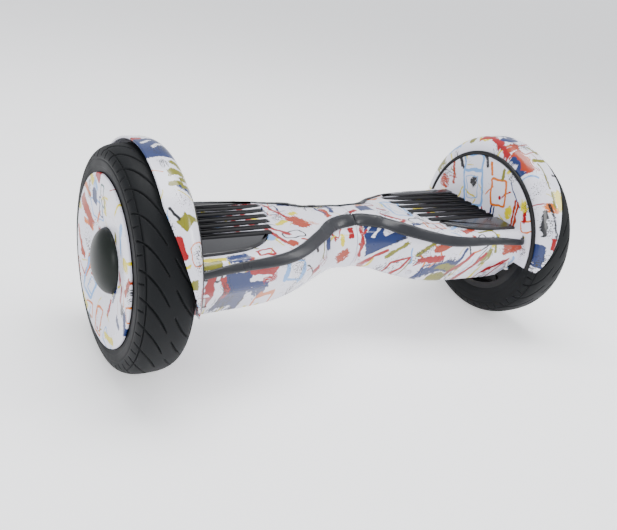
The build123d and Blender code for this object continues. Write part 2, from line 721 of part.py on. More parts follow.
def chassis(bore_r):
    with BuildPart() as frame:
        with BuildSketch(across_x(HOUSING_START)):
            with Locations((0, PIVOT_Z)):
                Circle(HOUSING_R)
        extrude(amount=HOUSING_END - HOUSING_START)
        with BuildSketch(Plane.XY.offset(PLATE_TOP_Z - PLATE_T)):
            Polygon((PLATE_START, -PLATE_TIP_HALF), (PLATE_WIDE_X, -PLATE_HALF), (SADDLE_END, -PLATE_HALF),
                    (SADDLE_END, PLATE_HALF), (PLATE_WIDE_X, PLATE_HALF), (PLATE_START, PLATE_TIP_HALF), align=None)
        extrude(amount=PLATE_T)
        with BuildSketch(Plane.XZ):
            gusset_top = PIVOT_Z - HOUSING_R + 2
            gusset_low = PLATE_TOP_Z - PLATE_T
            Polygon((HOUSING_START + GUSSET_SET, gusset_top), (HOUSING_END + 4, gusset_low),
                    (HOUSING_END + GUSSET_RUN, gusset_low), (HOUSING_END, gusset_top), align=None)
        extrude(amount=GUSSET_T / 2, both=True)
        with BuildSketch(across_x(SADDLE_X)):
            with Locations((0, PLATE_TOP_Z)):
                Rectangle(2 * SADDLE_HALF, AXLE_Z - PLATE_TOP_Z - CLAMP_GAP / 2, align=(Align.CENTER, Align.MIN))
            with Locations((0, AXLE_Z)):
                Circle(AXLE_R + FIT, mode=Mode.SUBTRACT)
        extrude(amount=SADDLE_END - SADDLE_X)
        with BuildSketch(Plane.XY.offset(PLATE_TOP_Z)):
            with Locations(*pairs(BOARD_POSTS)):
                Circle(POST_R)
        extrude(amount=BOARD_Z - PLATE_TOP_Z)
        with BuildSketch(across_x(0)):
            with Locations((0, PIVOT_Z)):
                Circle(bore_r)
        extrude(amount=HOUSING_END, mode=Mode.SUBTRACT)
        with BuildSketch(Plane.XY):
            with Locations(*pairs(CHASSIS_SCREWS)):
                Circle(SCREW_R + FIT)
            with Locations(*pairs(CLAMP_SCREWS)):
                Circle(CLAMP_SCREW_R + FIT)
        extrude(amount=AXLE_Z, mode=Mode.SUBTRACT)
    return frame


save(chassis(BUSH_R + FIT), "chassis_right")
save_left(chassis(SHAFT_R + FIT), "chassis_left")

with BuildPart() as axle_clamp:
    with BuildSketch(across_x(SADDLE_X)):
        with Locations((0, AXLE_Z + CLAMP_GAP / 2)):
            Rectangle(2 * SADDLE_HALF, CLAMP_H, align=(Align.CENTER, Align.MIN))
        with Locations((0, AXLE_Z)):
            Circle(AXLE_R + FIT, mode=Mode.SUBTRACT)
    extrude(amount=SADDLE_END - SADDLE_X)
    with BuildSketch(Plane.XY.offset(AXLE_Z)):
        with Locations(*pairs(CLAMP_SCREWS)):
            Circle(CLAMP_SCREW_R + FIT)
    extrude(amount=CLAMP_H + 1, mode=Mode.SUBTRACT)
save_pair(axle_clamp, "axle_clamp")

with BuildPart() as clamp_screws:
    clamp_top = AXLE_Z + CLAMP_GAP / 2 + CLAMP_H
    with BuildSketch(Plane.XY.offset(clamp_top)):
        with Locations(*pairs(CLAMP_SCREWS)):
            Circle(CLAMP_HEAD_R)
            RegularPolygon(CLAMP_SCREW_R, 6, mode=Mode.SUBTRACT)
    extrude(amount=CLAMP_HEAD_T)
    with BuildSketch(Plane.XY.offset(clamp_top)):
        with Locations(*pairs(CLAMP_SCREWS)):
            Circle(CLAMP_SCREW_R)
    extrude(amount=PLATE_TOP_Z - clamp_top)
    with BuildSketch(Plane.XY.offset(clamp_top)):
        with Locations(*pairs(CLAMP_SCREWS)):
            Circle(CLAMP_HEAD_R)
    extrude(amount=HEX_FLOOR)
save_pair(clamp_screws, "clamp_screws")

with BuildPart() as sensor_board:
    with BuildSketch(Plane.XY.offset(BOARD_Z)):
        Polygon(*[(x, -y) for x, y in BOARD_OUTLINE], *reversed(BOARD_OUTLINE), align=None)
    extrude(amount=BOARD_T)
    with BuildSketch(Plane.XY.offset(BOARD_Z + BOARD_T)):
        with Locations(*pairs(TREAD_SWITCHES)):
            Circle(SWITCH_R)
    extrude(amount=PAD_BASE_Z - PAD_TRAVEL - LOOSE - BOARD_Z - BOARD_T)
    with BuildSketch(Plane.XY.offset(BOARD_Z + BOARD_T)):
        with Locations((150, 0)):
            Rectangle(12, 12)
        with Locations((110, 10)):
            Rectangle(8, 14)
    extrude(amount=CHIP_T)
save_pair(sensor_board, "sensor_board")

with BuildPart() as motor_cable:
    with BuildLine() as route:
        FilletPolyline((AXLE_START + 20, 0, AXLE_Z), (AXLE_START - 16, 0, AXLE_Z),
                       (AXLE_START - 16, 0, BOARD_Z), radius=CABLE_BEND)
    with BuildSketch(Plane(origin=(AXLE_START + 20, 0, AXLE_Z), z_dir=(-1, 0, 0))):
        Circle(CABLE_R)
    sweep(path=route.wires()[0])
save_pair(motor_cable, "motor_cable")

# ---- pivot between the halves --------------------------------------------------------------


def about_pivot(x0, x1, r0, r1):
    """Plain ring, or a rod where r0 is 0, about the pivot."""
    with BuildPart() as band:
        with BuildSketch(across_x(x0)):
            with Locations((0, PIVOT_Z)):
                Circle(r1)
                if r0:
                    Circle(r0, mode=Mode.SUBTRACT)
        extrude(amount=x1 - x0)
    return band.part


GROOVE_DEPTH = 1.2
CIRCLIP_X = HOUSING_END + BUSH_FLANGE_T + 1.0
with BuildPart() as pivot_shaft:
    add(about_pivot(-HOUSING_END - 3, SHAFT_END, SHAFT_BORE_R, SHAFT_R))
    add(about_pivot(CIRCLIP_X, CIRCLIP_X + CIRCLIP_T, SHAFT_R - GROOVE_DEPTH, SHAFT_R + 1), mode=Mode.SUBTRACT)
save(pivot_shaft, "pivot_shaft")

with BuildPart() as pivot_circlip:
    add(about_pivot(CIRCLIP_X + FIT, CIRCLIP_X + CIRCLIP_T - FIT, SHAFT_R - GROOVE_DEPTH + FIT, CIRCLIP_R))
    with BuildSketch(across_x(CIRCLIP_X)):
        with Locations((0, PIVOT_Z + CIRCLIP_R)):
            Rectangle(5, 2 * GROOVE_DEPTH + 8, mode=Mode.ADD)
    extrude(amount=CIRCLIP_T, mode=Mode.SUBTRACT)
save(pivot_circlip, "pivot_circlip")

with BuildPart() as pivot_bushes:
    add(about_pivot(HOUSING_START, HOUSING_START + BUSH_L, SHAFT_R + FIT, BUSH_R))
    add(about_pivot(HOUSING_END - BUSH_L, HOUSING_END, SHAFT_R + FIT, BUSH_R))
    add(about_pivot(HOUSING_END, HOUSING_END + BUSH_FLANGE_T, SHAFT_R + FIT, BUSH_FLANGE_R))
save(pivot_bushes, "pivot_bushes")

with BuildPart() as thrust_washer:
    add(about_pivot(-HOUSING_START + FIT, HOUSING_START - FIT, SHAFT_R + FIT, HOUSING_R - 2))
save(thrust_washer, "thrust_washer")

with BuildPart() as link_cable:
    add(about_pivot(-HOUSING_END - 14, SHAFT_END + 6, 0, LINK_CABLE_R))
save(link_cable, "link_cable")

# ---- electrics ----------------------------------------------------------------------------

with BuildPart() as battery_pack:
    with BuildSketch(Plane.XY.offset(PLATE_TOP_Z)):
        with Locations((BATTERY_X, BATTERY_Y)):
            RectangleRounded(BATTERY[0], BATTERY[1], 6)
    extrude(amount=BATTERY[2])
save_left(battery_pack, "battery_pack")

with BuildPart() as battery_strap:
    with BuildSketch(across_x(BATTERY_X - STRAP_W / 2)):
        with Locations((BATTERY_Y, PLATE_TOP_Z)):
            Rectangle(BATTERY[1] + 2 * (STRAP_T + FIT), BATTERY[2] + STRAP_T + FIT, align=(Align.CENTER, Align.MIN))
            Rectangle(BATTERY[1] + 2 * FIT, BATTERY[2] + FIT, align=(Align.CENTER, Align.MIN), mode=Mode.SUBTRACT)
    extrude(amount=STRAP_W)
save_left(battery_strap, "battery_strap")

with BuildPart() as main_board:
    board_z = PLATE_TOP_Z + STANDOFF_H
    with BuildSketch(Plane.XY.offset(PLATE_TOP_Z)):
        with Locations(*pairs(MAIN_POSTS)):
            Circle(POST_R)
        with Locations((HEAT_SINK_X, 0)):
            Rectangle(*HEAT_SINK)
    extrude(amount=STANDOFF_H)
    with BuildSketch(Plane.XY.offset(board_z)):
        with Locations((MAIN_BOARD_X, 0)):
            Rectangle(*MAIN_BOARD)
    extrude(amount=BOARD_T)
    with BuildSketch(Plane.XY.offset(board_z + BOARD_T)):
        with Locations((MAIN_BOARD_X - 20, 20)):
            with GridLocations(CAPACITOR_PITCH, CAPACITOR_PITCH, 2, 2):
                Circle(CAPACITOR_R)
    extrude(amount=CAPACITOR_H)
    with BuildSketch(Plane.XY.offset(board_z + BOARD_T)):
        with Locations((MAIN_BOARD_X + 18, -18), (MAIN_BOARD_X + 18, 18), (MAIN_BOARD_X - 4, -20)):
            Rectangle(PLUG[0], PLUG[1])
    extrude(amount=PLUG[2])
save(main_board, "main_board")

# ---- ports --------------------------------------------------------------------------------

with BuildPart() as power_button:
    with BuildSketch(side_on(PORT_FLOOR_Y - PORT_RIM)):
        with Locations((BUTTON_X, PORT_Z)):
            Circle(BUTTON_R)
    extrude(amount=-BUTTON_L)
    fillet(power_button.faces().sort_by(Axis.Y)[-1].edges(), 0.8)
save(power_button, "power_button")

with BuildPart() as charge_socket:
    with BuildSketch(side_on(PORT_FLOOR_Y + 1)):
        with Locations((SOCKET_X, PORT_Z)):
            Circle(SOCKET_R)
    extrude(amount=SOCKET_L)
    with BuildSketch(side_on(PORT_FLOOR_Y + 1)):
        with Locations((SOCKET_X, PORT_Z)):
            Circle(SOCKET_BORE_R)
    extrude(amount=SOCKET_BORE_L, mode=Mode.SUBTRACT)
    with BuildSketch(side_on(PORT_FLOOR_Y + 1 - SOCKET_BORE_L)):
        with Locations((SOCKET_X, PORT_Z)):
            with PolarLocations(CONTACT_RING, 3):
                Circle(CONTACT_R)
    extrude(amount=CONTACT_DEPTH, mode=Mode.SUBTRACT)
save(charge_socket, "charge_socket")

LID_Y = PORT_FLOOR_Y + 1 + LOOSE
HINGE_X = SOCKET_X + LID_R + 0.4
with BuildPart() as charge_cap:
    with BuildSketch(side_on(LID_Y)):
        with Locations((SOCKET_X, PORT_Z)):
            Circle(LID_R)
        with Locations((HINGE_X, PORT_Z)):
            Rectangle(4, LID_STRAP_W, align=(Align.MAX, Align.CENTER))
    extrude(amount=-LID_T)
    with BuildSketch(Plane.XY.offset(PORT_Z - LID_STRAP_W / 2)):
        with Locations((HINGE_X, LID_Y + LID_BARREL_R)):
            Circle(LID_BARREL_R)
    extrude(amount=LID_STRAP_W)
save(charge_cap, "charge_cap")
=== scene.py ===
"""A two-wheeled balance board: white shells under a printed paint-splash film, black rubber and trim."""

import bmesh
import bpy
import math
import numpy as np
from mathutils import Matrix, Vector
from mathutils.bvhtree import BVHTree


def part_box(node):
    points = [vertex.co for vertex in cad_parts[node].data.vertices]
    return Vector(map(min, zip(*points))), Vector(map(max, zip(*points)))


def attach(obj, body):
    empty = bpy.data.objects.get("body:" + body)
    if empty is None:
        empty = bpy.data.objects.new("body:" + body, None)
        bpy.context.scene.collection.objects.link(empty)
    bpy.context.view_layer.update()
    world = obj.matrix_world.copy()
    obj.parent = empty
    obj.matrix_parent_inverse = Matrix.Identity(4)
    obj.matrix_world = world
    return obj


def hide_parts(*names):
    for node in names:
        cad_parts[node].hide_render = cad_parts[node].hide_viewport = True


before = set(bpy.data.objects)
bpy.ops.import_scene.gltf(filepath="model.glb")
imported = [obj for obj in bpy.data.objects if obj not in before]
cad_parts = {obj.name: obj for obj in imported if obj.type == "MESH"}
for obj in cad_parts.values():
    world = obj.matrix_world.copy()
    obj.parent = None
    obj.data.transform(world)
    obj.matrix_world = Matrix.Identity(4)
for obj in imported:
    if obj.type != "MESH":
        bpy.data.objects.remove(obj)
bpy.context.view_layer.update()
MM = 0.001

# ---- printed shells --------------------------------------------------------------------------
# The four body shells are injection-moulded ABS, white, dipped in a printed film of brush strokes,
# boxes and splashes, and lacquered. They meet under the bumper strip and are screwed from below.

FILM_WHITE = (0.77, 0.765, 0.85, 1)
FILM_HAZE = (0.71, 0.71, 0.81, 1)
RED = (0.30, 0.003, 0.006, 1)
RUST = (0.33, 0.030, 0.005, 1)
ORANGE = (0.60, 0.14, 0.006, 1)
ROYAL = (0.005, 0.020, 0.105, 1)
SKY = (0.17, 0.36, 0.70, 1)
OLIVE = (0.17, 0.165, 0.006, 1)
YELLOW = (0.64, 0.54, 0.010, 1)
TEAL = (0.015, 0.085, 0.085, 1)
BLACK = (0.006, 0.006, 0.009, 1)
WHITE = (0.76, 0.76, 0.82, 1)
LOOSE_PAINTS = (RED, RUST, ORANGE, ROYAL, SKY, OLIVE, YELLOW, ROYAL, RED, TEAL, BLACK, SKY)
PAINT_EDGE = 0.0003                # half the width over which a mark's edge fades
BRISTLE_SCALE = (90, 900, 1)       # noise cells per metre, along and across a stroke
TRACE = (1e-7, 1e-7, 0)            # how much of a mark's colour its place carries on
WANDER = 0.009                     # how far the marks bend with the film
JITTER = 0.010                     # width of the square in which a loose mark's middle is drawn
DECK_Z = 0.158
SHELL_SEED = 3.0


def feed(tree, socket, value):
    """Links an input to another node's output, or sets its value."""
    if isinstance(value, bpy.types.NodeSocket):
        tree.links.new(value, socket)
    else:
        socket.default_value = value


def put(tree, kind, inputs=(), **settings):
    """Adds a shader node, sets it, and links or sets its inputs, given as (socket, value) pairs."""
    node = tree.nodes.new("ShaderNode" + kind)
    for name, value in settings.items():
        setattr(node, name, value)
    for socket, value in inputs:
        feed(tree, node.inputs[socket], value)
    return node


def maths(tree, operation, *values, clamp=False):
    return put(tree, "Math", list(enumerate(values)), operation=operation, use_clamp=clamp).outputs[0]


def vector(tree, operation, *values):
    return put(tree, "VectorMath", list(enumerate(values)), operation=operation)


def mixed(tree, share, under, over):
    return put(tree, "Mix", [(0, share), (6, under), (7, over)], data_type="RGBA").outputs[2]


def carried_on(tree, place, colour):
    """The place that the next mark starts from, so that the marks are worked out one after another."""
    return vector(tree, "ADD", place, vector(tree, "MULTIPLY", colour, TRACE).outputs[0]).outputs[0]


def group_of(name, inputs, outputs):
    """An empty shader node group with named sockets."""
    tree = bpy.data.node_groups.new(name, "ShaderNodeTree")
    for socket, kind, value in inputs:
        made = tree.interface.new_socket(socket, in_out="INPUT", socket_type="NodeSocket" + kind)
        if value is not None:
            made.default_value = value
    for socket, kind in outputs:
        tree.interface.new_socket(socket, in_out="OUTPUT", socket_type="NodeSocket" + kind)
    return tree, tree.nodes.new("NodeGroupInput").outputs, tree.nodes.new("NodeGroupOutput").inputs


def use(tree, group, **inputs):
    """Places a group in a tree. Socket names are given with _ for each space."""
    node = tree.nodes.new("ShaderNodeGroup")
    node.node_tree = group
    for name, value in inputs.items():
        feed(tree, node.inputs[name.replace("_", " ")], value)
    return node.outputs


# One mark of paint: a rounded box, filled or as an outline, with ragged edges and dry streaks.
paint_mark, into, out = group_of("paint mark", (
    ("Under", "Color", None), ("Paint", "Color", None), ("Place", "Vector", None), ("Middle", "Vector", None),
    ("Half", "Vector", None), ("Turn", "Float", 0.0), ("Corner", "Float", 0.0), ("Line", "Float", 0.0),
    ("Ragged", "Float", 0.0), ("Dry", "Float", 0.0), ("Share", "Float", 1.0)),
    (("Over", "Color"), ("Next", "Vector")))
t = paint_mark
moved = vector(t, "SUBTRACT", into["Place"], into["Middle"]).outputs[0]
along = put(t, "VectorRotate", [("Vector", moved), ("Angle", into["Turn"])],
            rotation_type="Z_AXIS").outputs[0]
corner = put(t, "CombineXYZ", [(0, into["Corner"]), (1, into["Corner"])]).outputs[0]
past = vector(t, "SUBTRACT", vector(t, "ABSOLUTE", along).outputs[0],
              vector(t, "SUBTRACT", into["Half"], corner).outputs[0]).outputs[0]
outside = vector(t, "LENGTH", vector(t, "MAXIMUM", past, (0, 0, 0)).outputs[0]).outputs["Value"]
parts = put(t, "SeparateXYZ", [(0, past)]).outputs
inside = maths(t, "MINIMUM", maths(t, "MAXIMUM", parts[0], parts[1]), 0.0)
edge = maths(t, "SUBTRACT", maths(t, "ADD", outside, inside), into["Corner"])
outline = maths(t, "SUBTRACT", maths(t, "ABSOLUTE", edge), maths(t, "MULTIPLY", into["Line"], 0.5))
is_line = maths(t, "GREATER_THAN", into["Line"], 0.0)
edge = maths(t, "ADD", maths(t, "MULTIPLY", outline, is_line),
             maths(t, "MULTIPLY", edge, maths(t, "SUBTRACT", 1.0, is_line)))
combed = vector(t, "MULTIPLY", along, BRISTLE_SCALE).outputs[0]
bristles = put(t, "TexNoise", [("Vector", combed), ("Scale", 1.0), ("Detail", 2.0)]).outputs[0]
blotches = put(t, "TexNoise", [("Vector", into["Place"]), ("Scale", 330.0), ("Detail", 3.0)]).outputs[0]
rough_edge = maths(t, "ADD", maths(t, "SUBTRACT", bristles, 0.5), maths(t, "SUBTRACT", blotches, 0.5))
edge = maths(t, "ADD", edge, maths(t, "MULTIPLY", rough_edge, into["Ragged"]))
cover = put(t, "MapRange", [("Value", edge), ("From Min", PAINT_EDGE), ("From Max", -PAINT_EDGE)]).outputs[0]
streak = put(t, "MapRange", [("Value", bristles), ("From Min", maths(t, "SUBTRACT", into["Dry"], 0.03)),
                             ("From Max", maths(t, "ADD", into["Dry"], 0.03))]).outputs[0]
cover = maths(t, "MULTIPLY", maths(t, "MULTIPLY", cover, streak), into["Share"])
painted = mixed(t, cover, into["Under"], into["Paint"])
t.links.new(painted, out["Over"])
t.links.new(carried_on(t, into["Place"], painted), out["Next"])

# Loose marks: one random stroke, box or ring in some of the cells of a grid, in one of the film's paints.
loose_marks, into, out = group_of("loose marks", (
    ("Under", "Color", None), ("Place", "Vector", None), ("Cell", "Float", 0.05), ("Seed", "Float", 0.0),
    ("Half", "Vector", (0.012, 0.002, 0)), ("Corner", "Float", 0.002), ("Line", "Float", 0.0),
    ("Ragged", "Float", 0.002), ("Dry", "Float", 0.3), ("Share", "Float", 0.5)),
    (("Over", "Color"), ("Next", "Vector")))
t = loose_marks
per_cell = vector(t, "SCALE", into["Place"])
t.links.new(maths(t, "DIVIDE", 1.0, into["Cell"]), per_cell.inputs["Scale"])
offset = put(t, "CombineXYZ", [(0, into["Seed"]), (1, maths(t, "MULTIPLY", into["Seed"], 1.7))]).outputs[0]
shifted = vector(t, "ADD", per_cell.outputs[0], offset).outputs[0]
flat = vector(t, "MULTIPLY", shifted, (1, 1, 0)).outputs[0]
cell = vector(t, "FLOOR", flat).outputs[0]
in_cell = vector(t, "SUBTRACT", vector(t, "SUBTRACT", flat, cell).outputs[0], (0.5, 0.5, 0)).outputs[0]
real = vector(t, "SCALE", in_cell)
t.links.new(into["Cell"], real.inputs["Scale"])
keyed = vector(t, "ADD", cell, put(t, "CombineXYZ", [(2, into["Seed"])]).outputs[0]).outputs[0]
dice = put(t, "TexWhiteNoise", [("Vector", keyed)])
second = put(t, "TexWhiteNoise", [("Vector", vector(t, "ADD", keyed, (31.7, 5.3, 2.1)).outputs[0])])
r = put(t, "SeparateColor", [(0, dice.outputs["Color"])]).outputs
r2 = put(t, "SeparateColor", [(0, second.outputs["Color"])]).outputs
shift = put(t, "CombineXYZ", [(0, maths(t, "MULTIPLY", maths(t, "SUBTRACT", r[0], 0.5), JITTER)),
                              (1, maths(t, "MULTIPLY", maths(t, "SUBTRACT", r[1], 0.5), JITTER))]).outputs[0]
grown = vector(t, "SCALE", into["Half"])
t.links.new(maths(t, "MULTIPLY_ADD", r2[0], 0.7, 0.55), grown.inputs["Scale"])
paints = put(t, "ValToRGB", [(0, r2[1])])
paints.color_ramp.interpolation = "CONSTANT"
for number, paint in enumerate(LOOSE_PAINTS):
    stop = paints.color_ramp.elements[number] if number < 2 else paints.color_ramp.elements.new(0.5)
    stop.position = number / len(LOOSE_PAINTS)
    stop.color = paint
present = maths(t, "LESS_THAN", second.outputs["Value"], into["Share"])
marked = use(t, paint_mark, Under=into["Under"], Paint=paints.outputs[0], Place=real.outputs[0], Middle=shift,
             Half=grown.outputs[0], Turn=maths(t, "MULTIPLY", r[2], math.tau), Corner=into["Corner"],
             Line=into["Line"], Ragged=into["Ragged"], Dry=into["Dry"], Share=present)
t.links.new(marked["Over"], out["Over"])
t.links.new(carried_on(t, into["Place"], marked["Over"]), out["Next"])

# Layers of loose marks: cell, half size, corner, outline, ragged edge, dry share, share of cells marked.
LOOSE_LAYERS = (
    (0.064, (0.019, 0.013), 0.003, 0.0022, 0.0016, 0.25, 0.42),
    (0.047, (0.017, 0.0045), 0.0015, 0.0, 0.006, 0.34, 0.50),
    (0.039, (0.0145, 0.0016), 0.0012, 0.0, 0.0022, 0.24, 0.54),
    (0.052, (0.010, 0.008), 0.006, 0.0, 0.010, 0.36, 0.42),
    (0.031, (0.0105, 0.0008), 0.0006, 0.0, 0.0012, 0.24, 0.52),
)


def printed_film(name, place_of, seed, marks, shine=0.5, lacquer=0.3):
    """Lacquered film. place_of(tree, coords) gives the flat place, and marks lie over the loose ones."""
    material = bpy.data.materials.new(name)
    material.use_nodes = True
    tree = material.node_tree
    tree.nodes.clear()
    coords = put(tree, "TexCoord").outputs["Object"]
    flat_place = place_of(tree, coords)
    wander = put(tree, "TexNoise", [("Vector", flat_place), ("Scale", 55.0), ("Detail", 1.0)]).outputs[1]
    wander = vector(tree, "SUBTRACT", wander, (0.5, 0.5, 0.5)).outputs[0]
    wander = vector(tree, "MULTIPLY", wander, (WANDER, WANDER, 0)).outputs[0]
    place = vector(tree, "ADD", flat_place, wander).outputs[0]
    haze = put(tree, "TexNoise", [("Vector", coords), ("Scale", 9.0), ("Detail", 2.0)]).outputs[0]
    colour = mixed(tree, haze, FILM_WHITE, FILM_HAZE)
    for number, (cell_size, half, corner_r, line, ragged, dry, share) in enumerate(LOOSE_LAYERS):
        laid = use(tree, loose_marks, Under=colour, Place=place, Cell=cell_size, Seed=seed + 7.31 * number,
                   Half=(*half, 0), Corner=corner_r, Line=line, Ragged=ragged, Dry=dry, Share=share)
        colour, place = laid["Over"], laid["Next"]
    for paint, x, y, half_length, half_width, turn, corner_r, line, ragged, dry in marks:
        laid = use(tree, paint_mark, Under=colour, Paint=paint, Place=place, Middle=(x * MM, y * MM, 0),
                   Half=(half_length * MM, half_width * MM, 0), Turn=-math.radians(turn),
                   Corner=corner_r * MM, Line=line * MM, Ragged=ragged * MM, Dry=dry, Share=1.0)
        colour, place = laid["Over"], laid["Next"]
    # black specks, in drifts
    speck = put(tree, "TexVoronoi", [("Vector", place), ("Scale", 620.0)]).outputs[0]
    drift = put(tree, "TexNoise", [("Vector", flat_place), ("Scale", 26.0), ("Detail", 1.0)]).outputs[0]
    drift = put(tree, "MapRange", [("Value", drift), ("From Min", 0.52), ("From Max", 0.68),
                                   ("To Max", 0.44)]).outputs[0]
    colour = mixed(tree, maths(tree, "LESS_THAN", speck, drift), colour, BLACK)
    peel = put(tree, "TexNoise", [("Vector", coords), ("Scale", 420.0), ("Detail", 1.0)]).outputs[0]
    bump = put(tree, "Bump", [("Height", peel), ("Strength", 0.05), ("Distance", 0.0003)]).outputs[0]
    smear = put(tree, "TexNoise", [("Vector", coords), ("Scale", 14.0), ("Detail", 4.0)]).outputs[0]
    rough = put(tree, "MapRange", [("Value", smear), ("To Min", 0.20), ("To Max", 0.36)]).outputs[0]
    skin = put(tree, "BsdfPrincipled", [("Base Color", colour), ("Roughness", rough), ("Normal", bump),
                                        ("IOR", 1.46), ("Specular IOR Level", shine),
                                        ("Coat Weight", lacquer), ("Coat Roughness", 0.06)])
    surface = put(tree, "OutputMaterial")
    tree.links.new(skin.outputs[0], surface.inputs[0])
    return material


def refinish(node_name, material):
    """Gives all of a carried-over piece one finish."""
    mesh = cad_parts[node_name].data
    for number in range(len(mesh.materials)):
        mesh.materials[number] = material


def over_body(tree, coords):
    """Along the board by x, and across it by the way from the deck's middle down over the front or back."""
    x, y, z = put(tree, "SeparateXYZ", [(0, coords)]).outputs
    down = maths(tree, "MAXIMUM", maths(tree, "SUBTRACT", DECK_Z, z), 0.0)
    across = maths(tree, "MULTIPLY_ADD", maths(tree, "SIGN", y), down, y)
    return put(tree, "CombineXYZ", [(0, x), (1, across)]).outputs[0]


# paint, x, y, half length, half width, turn in degrees, corner, outline, ragged edge, dry share (mm)
DECK_LEFT_MARKS = (
    (RED, -85, 16, 39, 2.0, -75, 1.5, 0, 3, 0.12),
    (RUST, -76, -12, 18, 8.5, -75, 8, 0, 9, 0.26),
    (ORANGE, -63, -20, 10, 4, -50, 3, 0, 8, 0.5),
    (ORANGE, -92, 22, 9, 9, 0, 9, 1.1, 1.5, 0.40),
    (ROYAL, -68, 42, 8, 4, -10, 4, 0, 1.5, 0.0),
    (BLACK, -46, 20, 7, 4, 20, 3, 0, 9, 0.5),
    (ROYAL, -38, 8, 18, 1.2, -80, 1, 0, 1.5, 0.1),
    (ROYAL, -27, 12, 9, 1.5, 10, 1, 0, 1.5, 0.1),
    (ROYAL, -24, -2, 6, 3, 60, 3, 0, 3, 0.2),
    (YELLOW, -97, -8, 10, 3.6, 24, 3, 0, 5, 0.3),
    (RED, -110, -28, 16, 2.6, -62, 2, 0, 4, 0.15),
    (RED, -120, -38, 23, 3.0, -84, 2, 0, 4, 0.15),
    (RUST, -111, -62, 8, 5, 20, 5, 0, 7, 0.26),
    (RED, -112, 54, 13, 4.5, 0, 2, 0, 5, 0.25),
    (RED, -130, 28, 32, 4, 84, 2, 0, 4, 0.2),
    (RED, -152, 6, 30, 3, 78, 2, 0, 4, 0.2),
    (ROYAL, -172, 30, 14, 7, 10, 3, 0, 7, 0.35),
    (YELLOW, -146, 20, 9, 5, 0, 4, 0, 5, 0.3),
    (RED, -151, -76, 10, 5.5, 8, 1, 3.4, 1.6, 0.1),
    (ROYAL, -188, -84, 14, 7, 6, 4, 0, 9, 0.36),
    (OLIVE, -223, -92, 13, 7, 4, 6, 0, 3, 0.2),
    (YELLOW, -216, -82, 14, 4, -6, 3, 0, 5, 0.3),
)
FRONT_LEFT_MARKS = (
    (SKY, -110, -102, 15, 13, 0, 4, 2.6, 1.6, 0.2),
    (SKY, -124, -104, 14, 2.8, 85, 2, 0, 3, 0.2),
    (SKY, -97, -104, 13, 2.8, 85, 2, 0, 3, 0.2),
    (ROYAL, -190, -119, 17, 15, 2, 2, 0, 4, 0.16),
    (ROYAL, -164, -122, 17, 6, -6, 3, 0, 7, 0.3),
    (ROYAL, -205, -142, 35, 4, 8, 2, 0, 6, 0.36),
    (RED, -158, -101, 20, 8.5, 3, 8, 0, 3, 0.1),
    (WHITE, -163, -114, 12, 3, 6, 3, 0, 3, 0.2),
    (RED, -147, -114, 10, 4, 20, 2, 0, 6, 0.42),
    (RED, -223, -124, 19, 5.5, 86, 2, 0, 4, 0.15),
    (RED, -205, -119, 11, 3.8, -66, 3, 0, 4, 0.15),
    (BLACK, -206, -147, 11, 1.8, 4, 1, 0, 4, 0.35),
    (OLIVE, -198, -158, 17, 1.6, 3, 1, 0, 2, 0.2),
    (ORANGE, -139, -138, 11, 12, 6, 3, 2.6, 1.4, 0.1),
    (RED, -140, -141, 2.2, 2.2, 0, 2.2, 0, 1, 0.0),
    (RED, -70, -97, 9, 3, 40, 2, 0, 4, 0.2),
    (RED, -58, -82, 9, 5, 60, 2, 0, 5, 0.52),
    (BLACK, -75, -66, 10, 2.4, 100, 2, 0, 3, 0.15),
    (OLIVE, -60, -66, 15, 1.2, 88, 1, 0, 2, 0.2),
    (ROYAL, -49, -54, 15, 5, 84, 5, 0, 3, 0.15),
    (YELLOW, -22, -50, 10, 3, 90, 3, 0, 5, 0.3),
    (RED, -9, -38, 10, 3.6, 88, 2, 0, 4, 0.2),
    (RUST, -20, -72, 11, 6, 30, 5, 0, 8, 0.30),
)
DECK_RIGHT_MARKS = (
    (SKY, 91, 10, 14, 25, -6, 5, 3.8, 1.4, 0.12),
    (SKY, 92, 12, 8, 16, -6, 3, 1.4, 1.4, 0.3),
    (ORANGE, 113, -48, 13, 9, -8, 2, 2.6, 1.4, 0.1),
    (RED, 113, -52, 2.4, 2.4, 0, 2.4, 0, 1, 0),
    (RED, 58, -22, 15, 2.4, -30, 2, 0, 4, 0.15),
    (RED, 70, -34, 9, 2.2, 30, 2, 0, 4, 0.15),
    (RED, 6, -8, 8, 2.4, 20, 2, 0, 3, 0.15),
    (ROYAL, 30, 2, 12, 8, 10, 2, 0, 5, 0.25),
    (RED, 47, 20, 9, 6, 10, 3, 2.6, 2, 0.1),
    (RED, 60, 4, 8, 2.6, -20, 2, 0, 4, 0.2),
    (OLIVE, 12, 24, 13, 3, 6, 2, 0, 5, 0.25),
    (ORANGE, 76, 46, 14, 2.2, 12, 2, 0, 3, 0.2),
    (ORANGE, 88, 62, 16, 2.4, 6, 2, 0, 3, 0.2),
    (ROYAL, 84, -44, 9, 3, 6, 2, 0, 6, 0.36),
    (SKY, 140, -58, 12, 1.8, 20, 1, 0, 2, 0.2),
    (RUST, 155, -69, 12, 5, 6, 4, 0, 8, 0.3),
    (OLIVE, 182, -74, 18, 1.8, 8, 1, 0, 2, 0.15),
    (OLIVE, 193, -88, 14, 1.6, 96, 1, 0, 2, 0.15),
    (RED, 140, -10, 3, 22, 8, 2, 0, 4, 0.3),
    (ROYAL, 176, 26, 14, 6, 0, 3, 0, 7, 0.35),
    (YELLOW, 160, 50, 10, 5, 0, 4, 0, 6, 0.3),
)
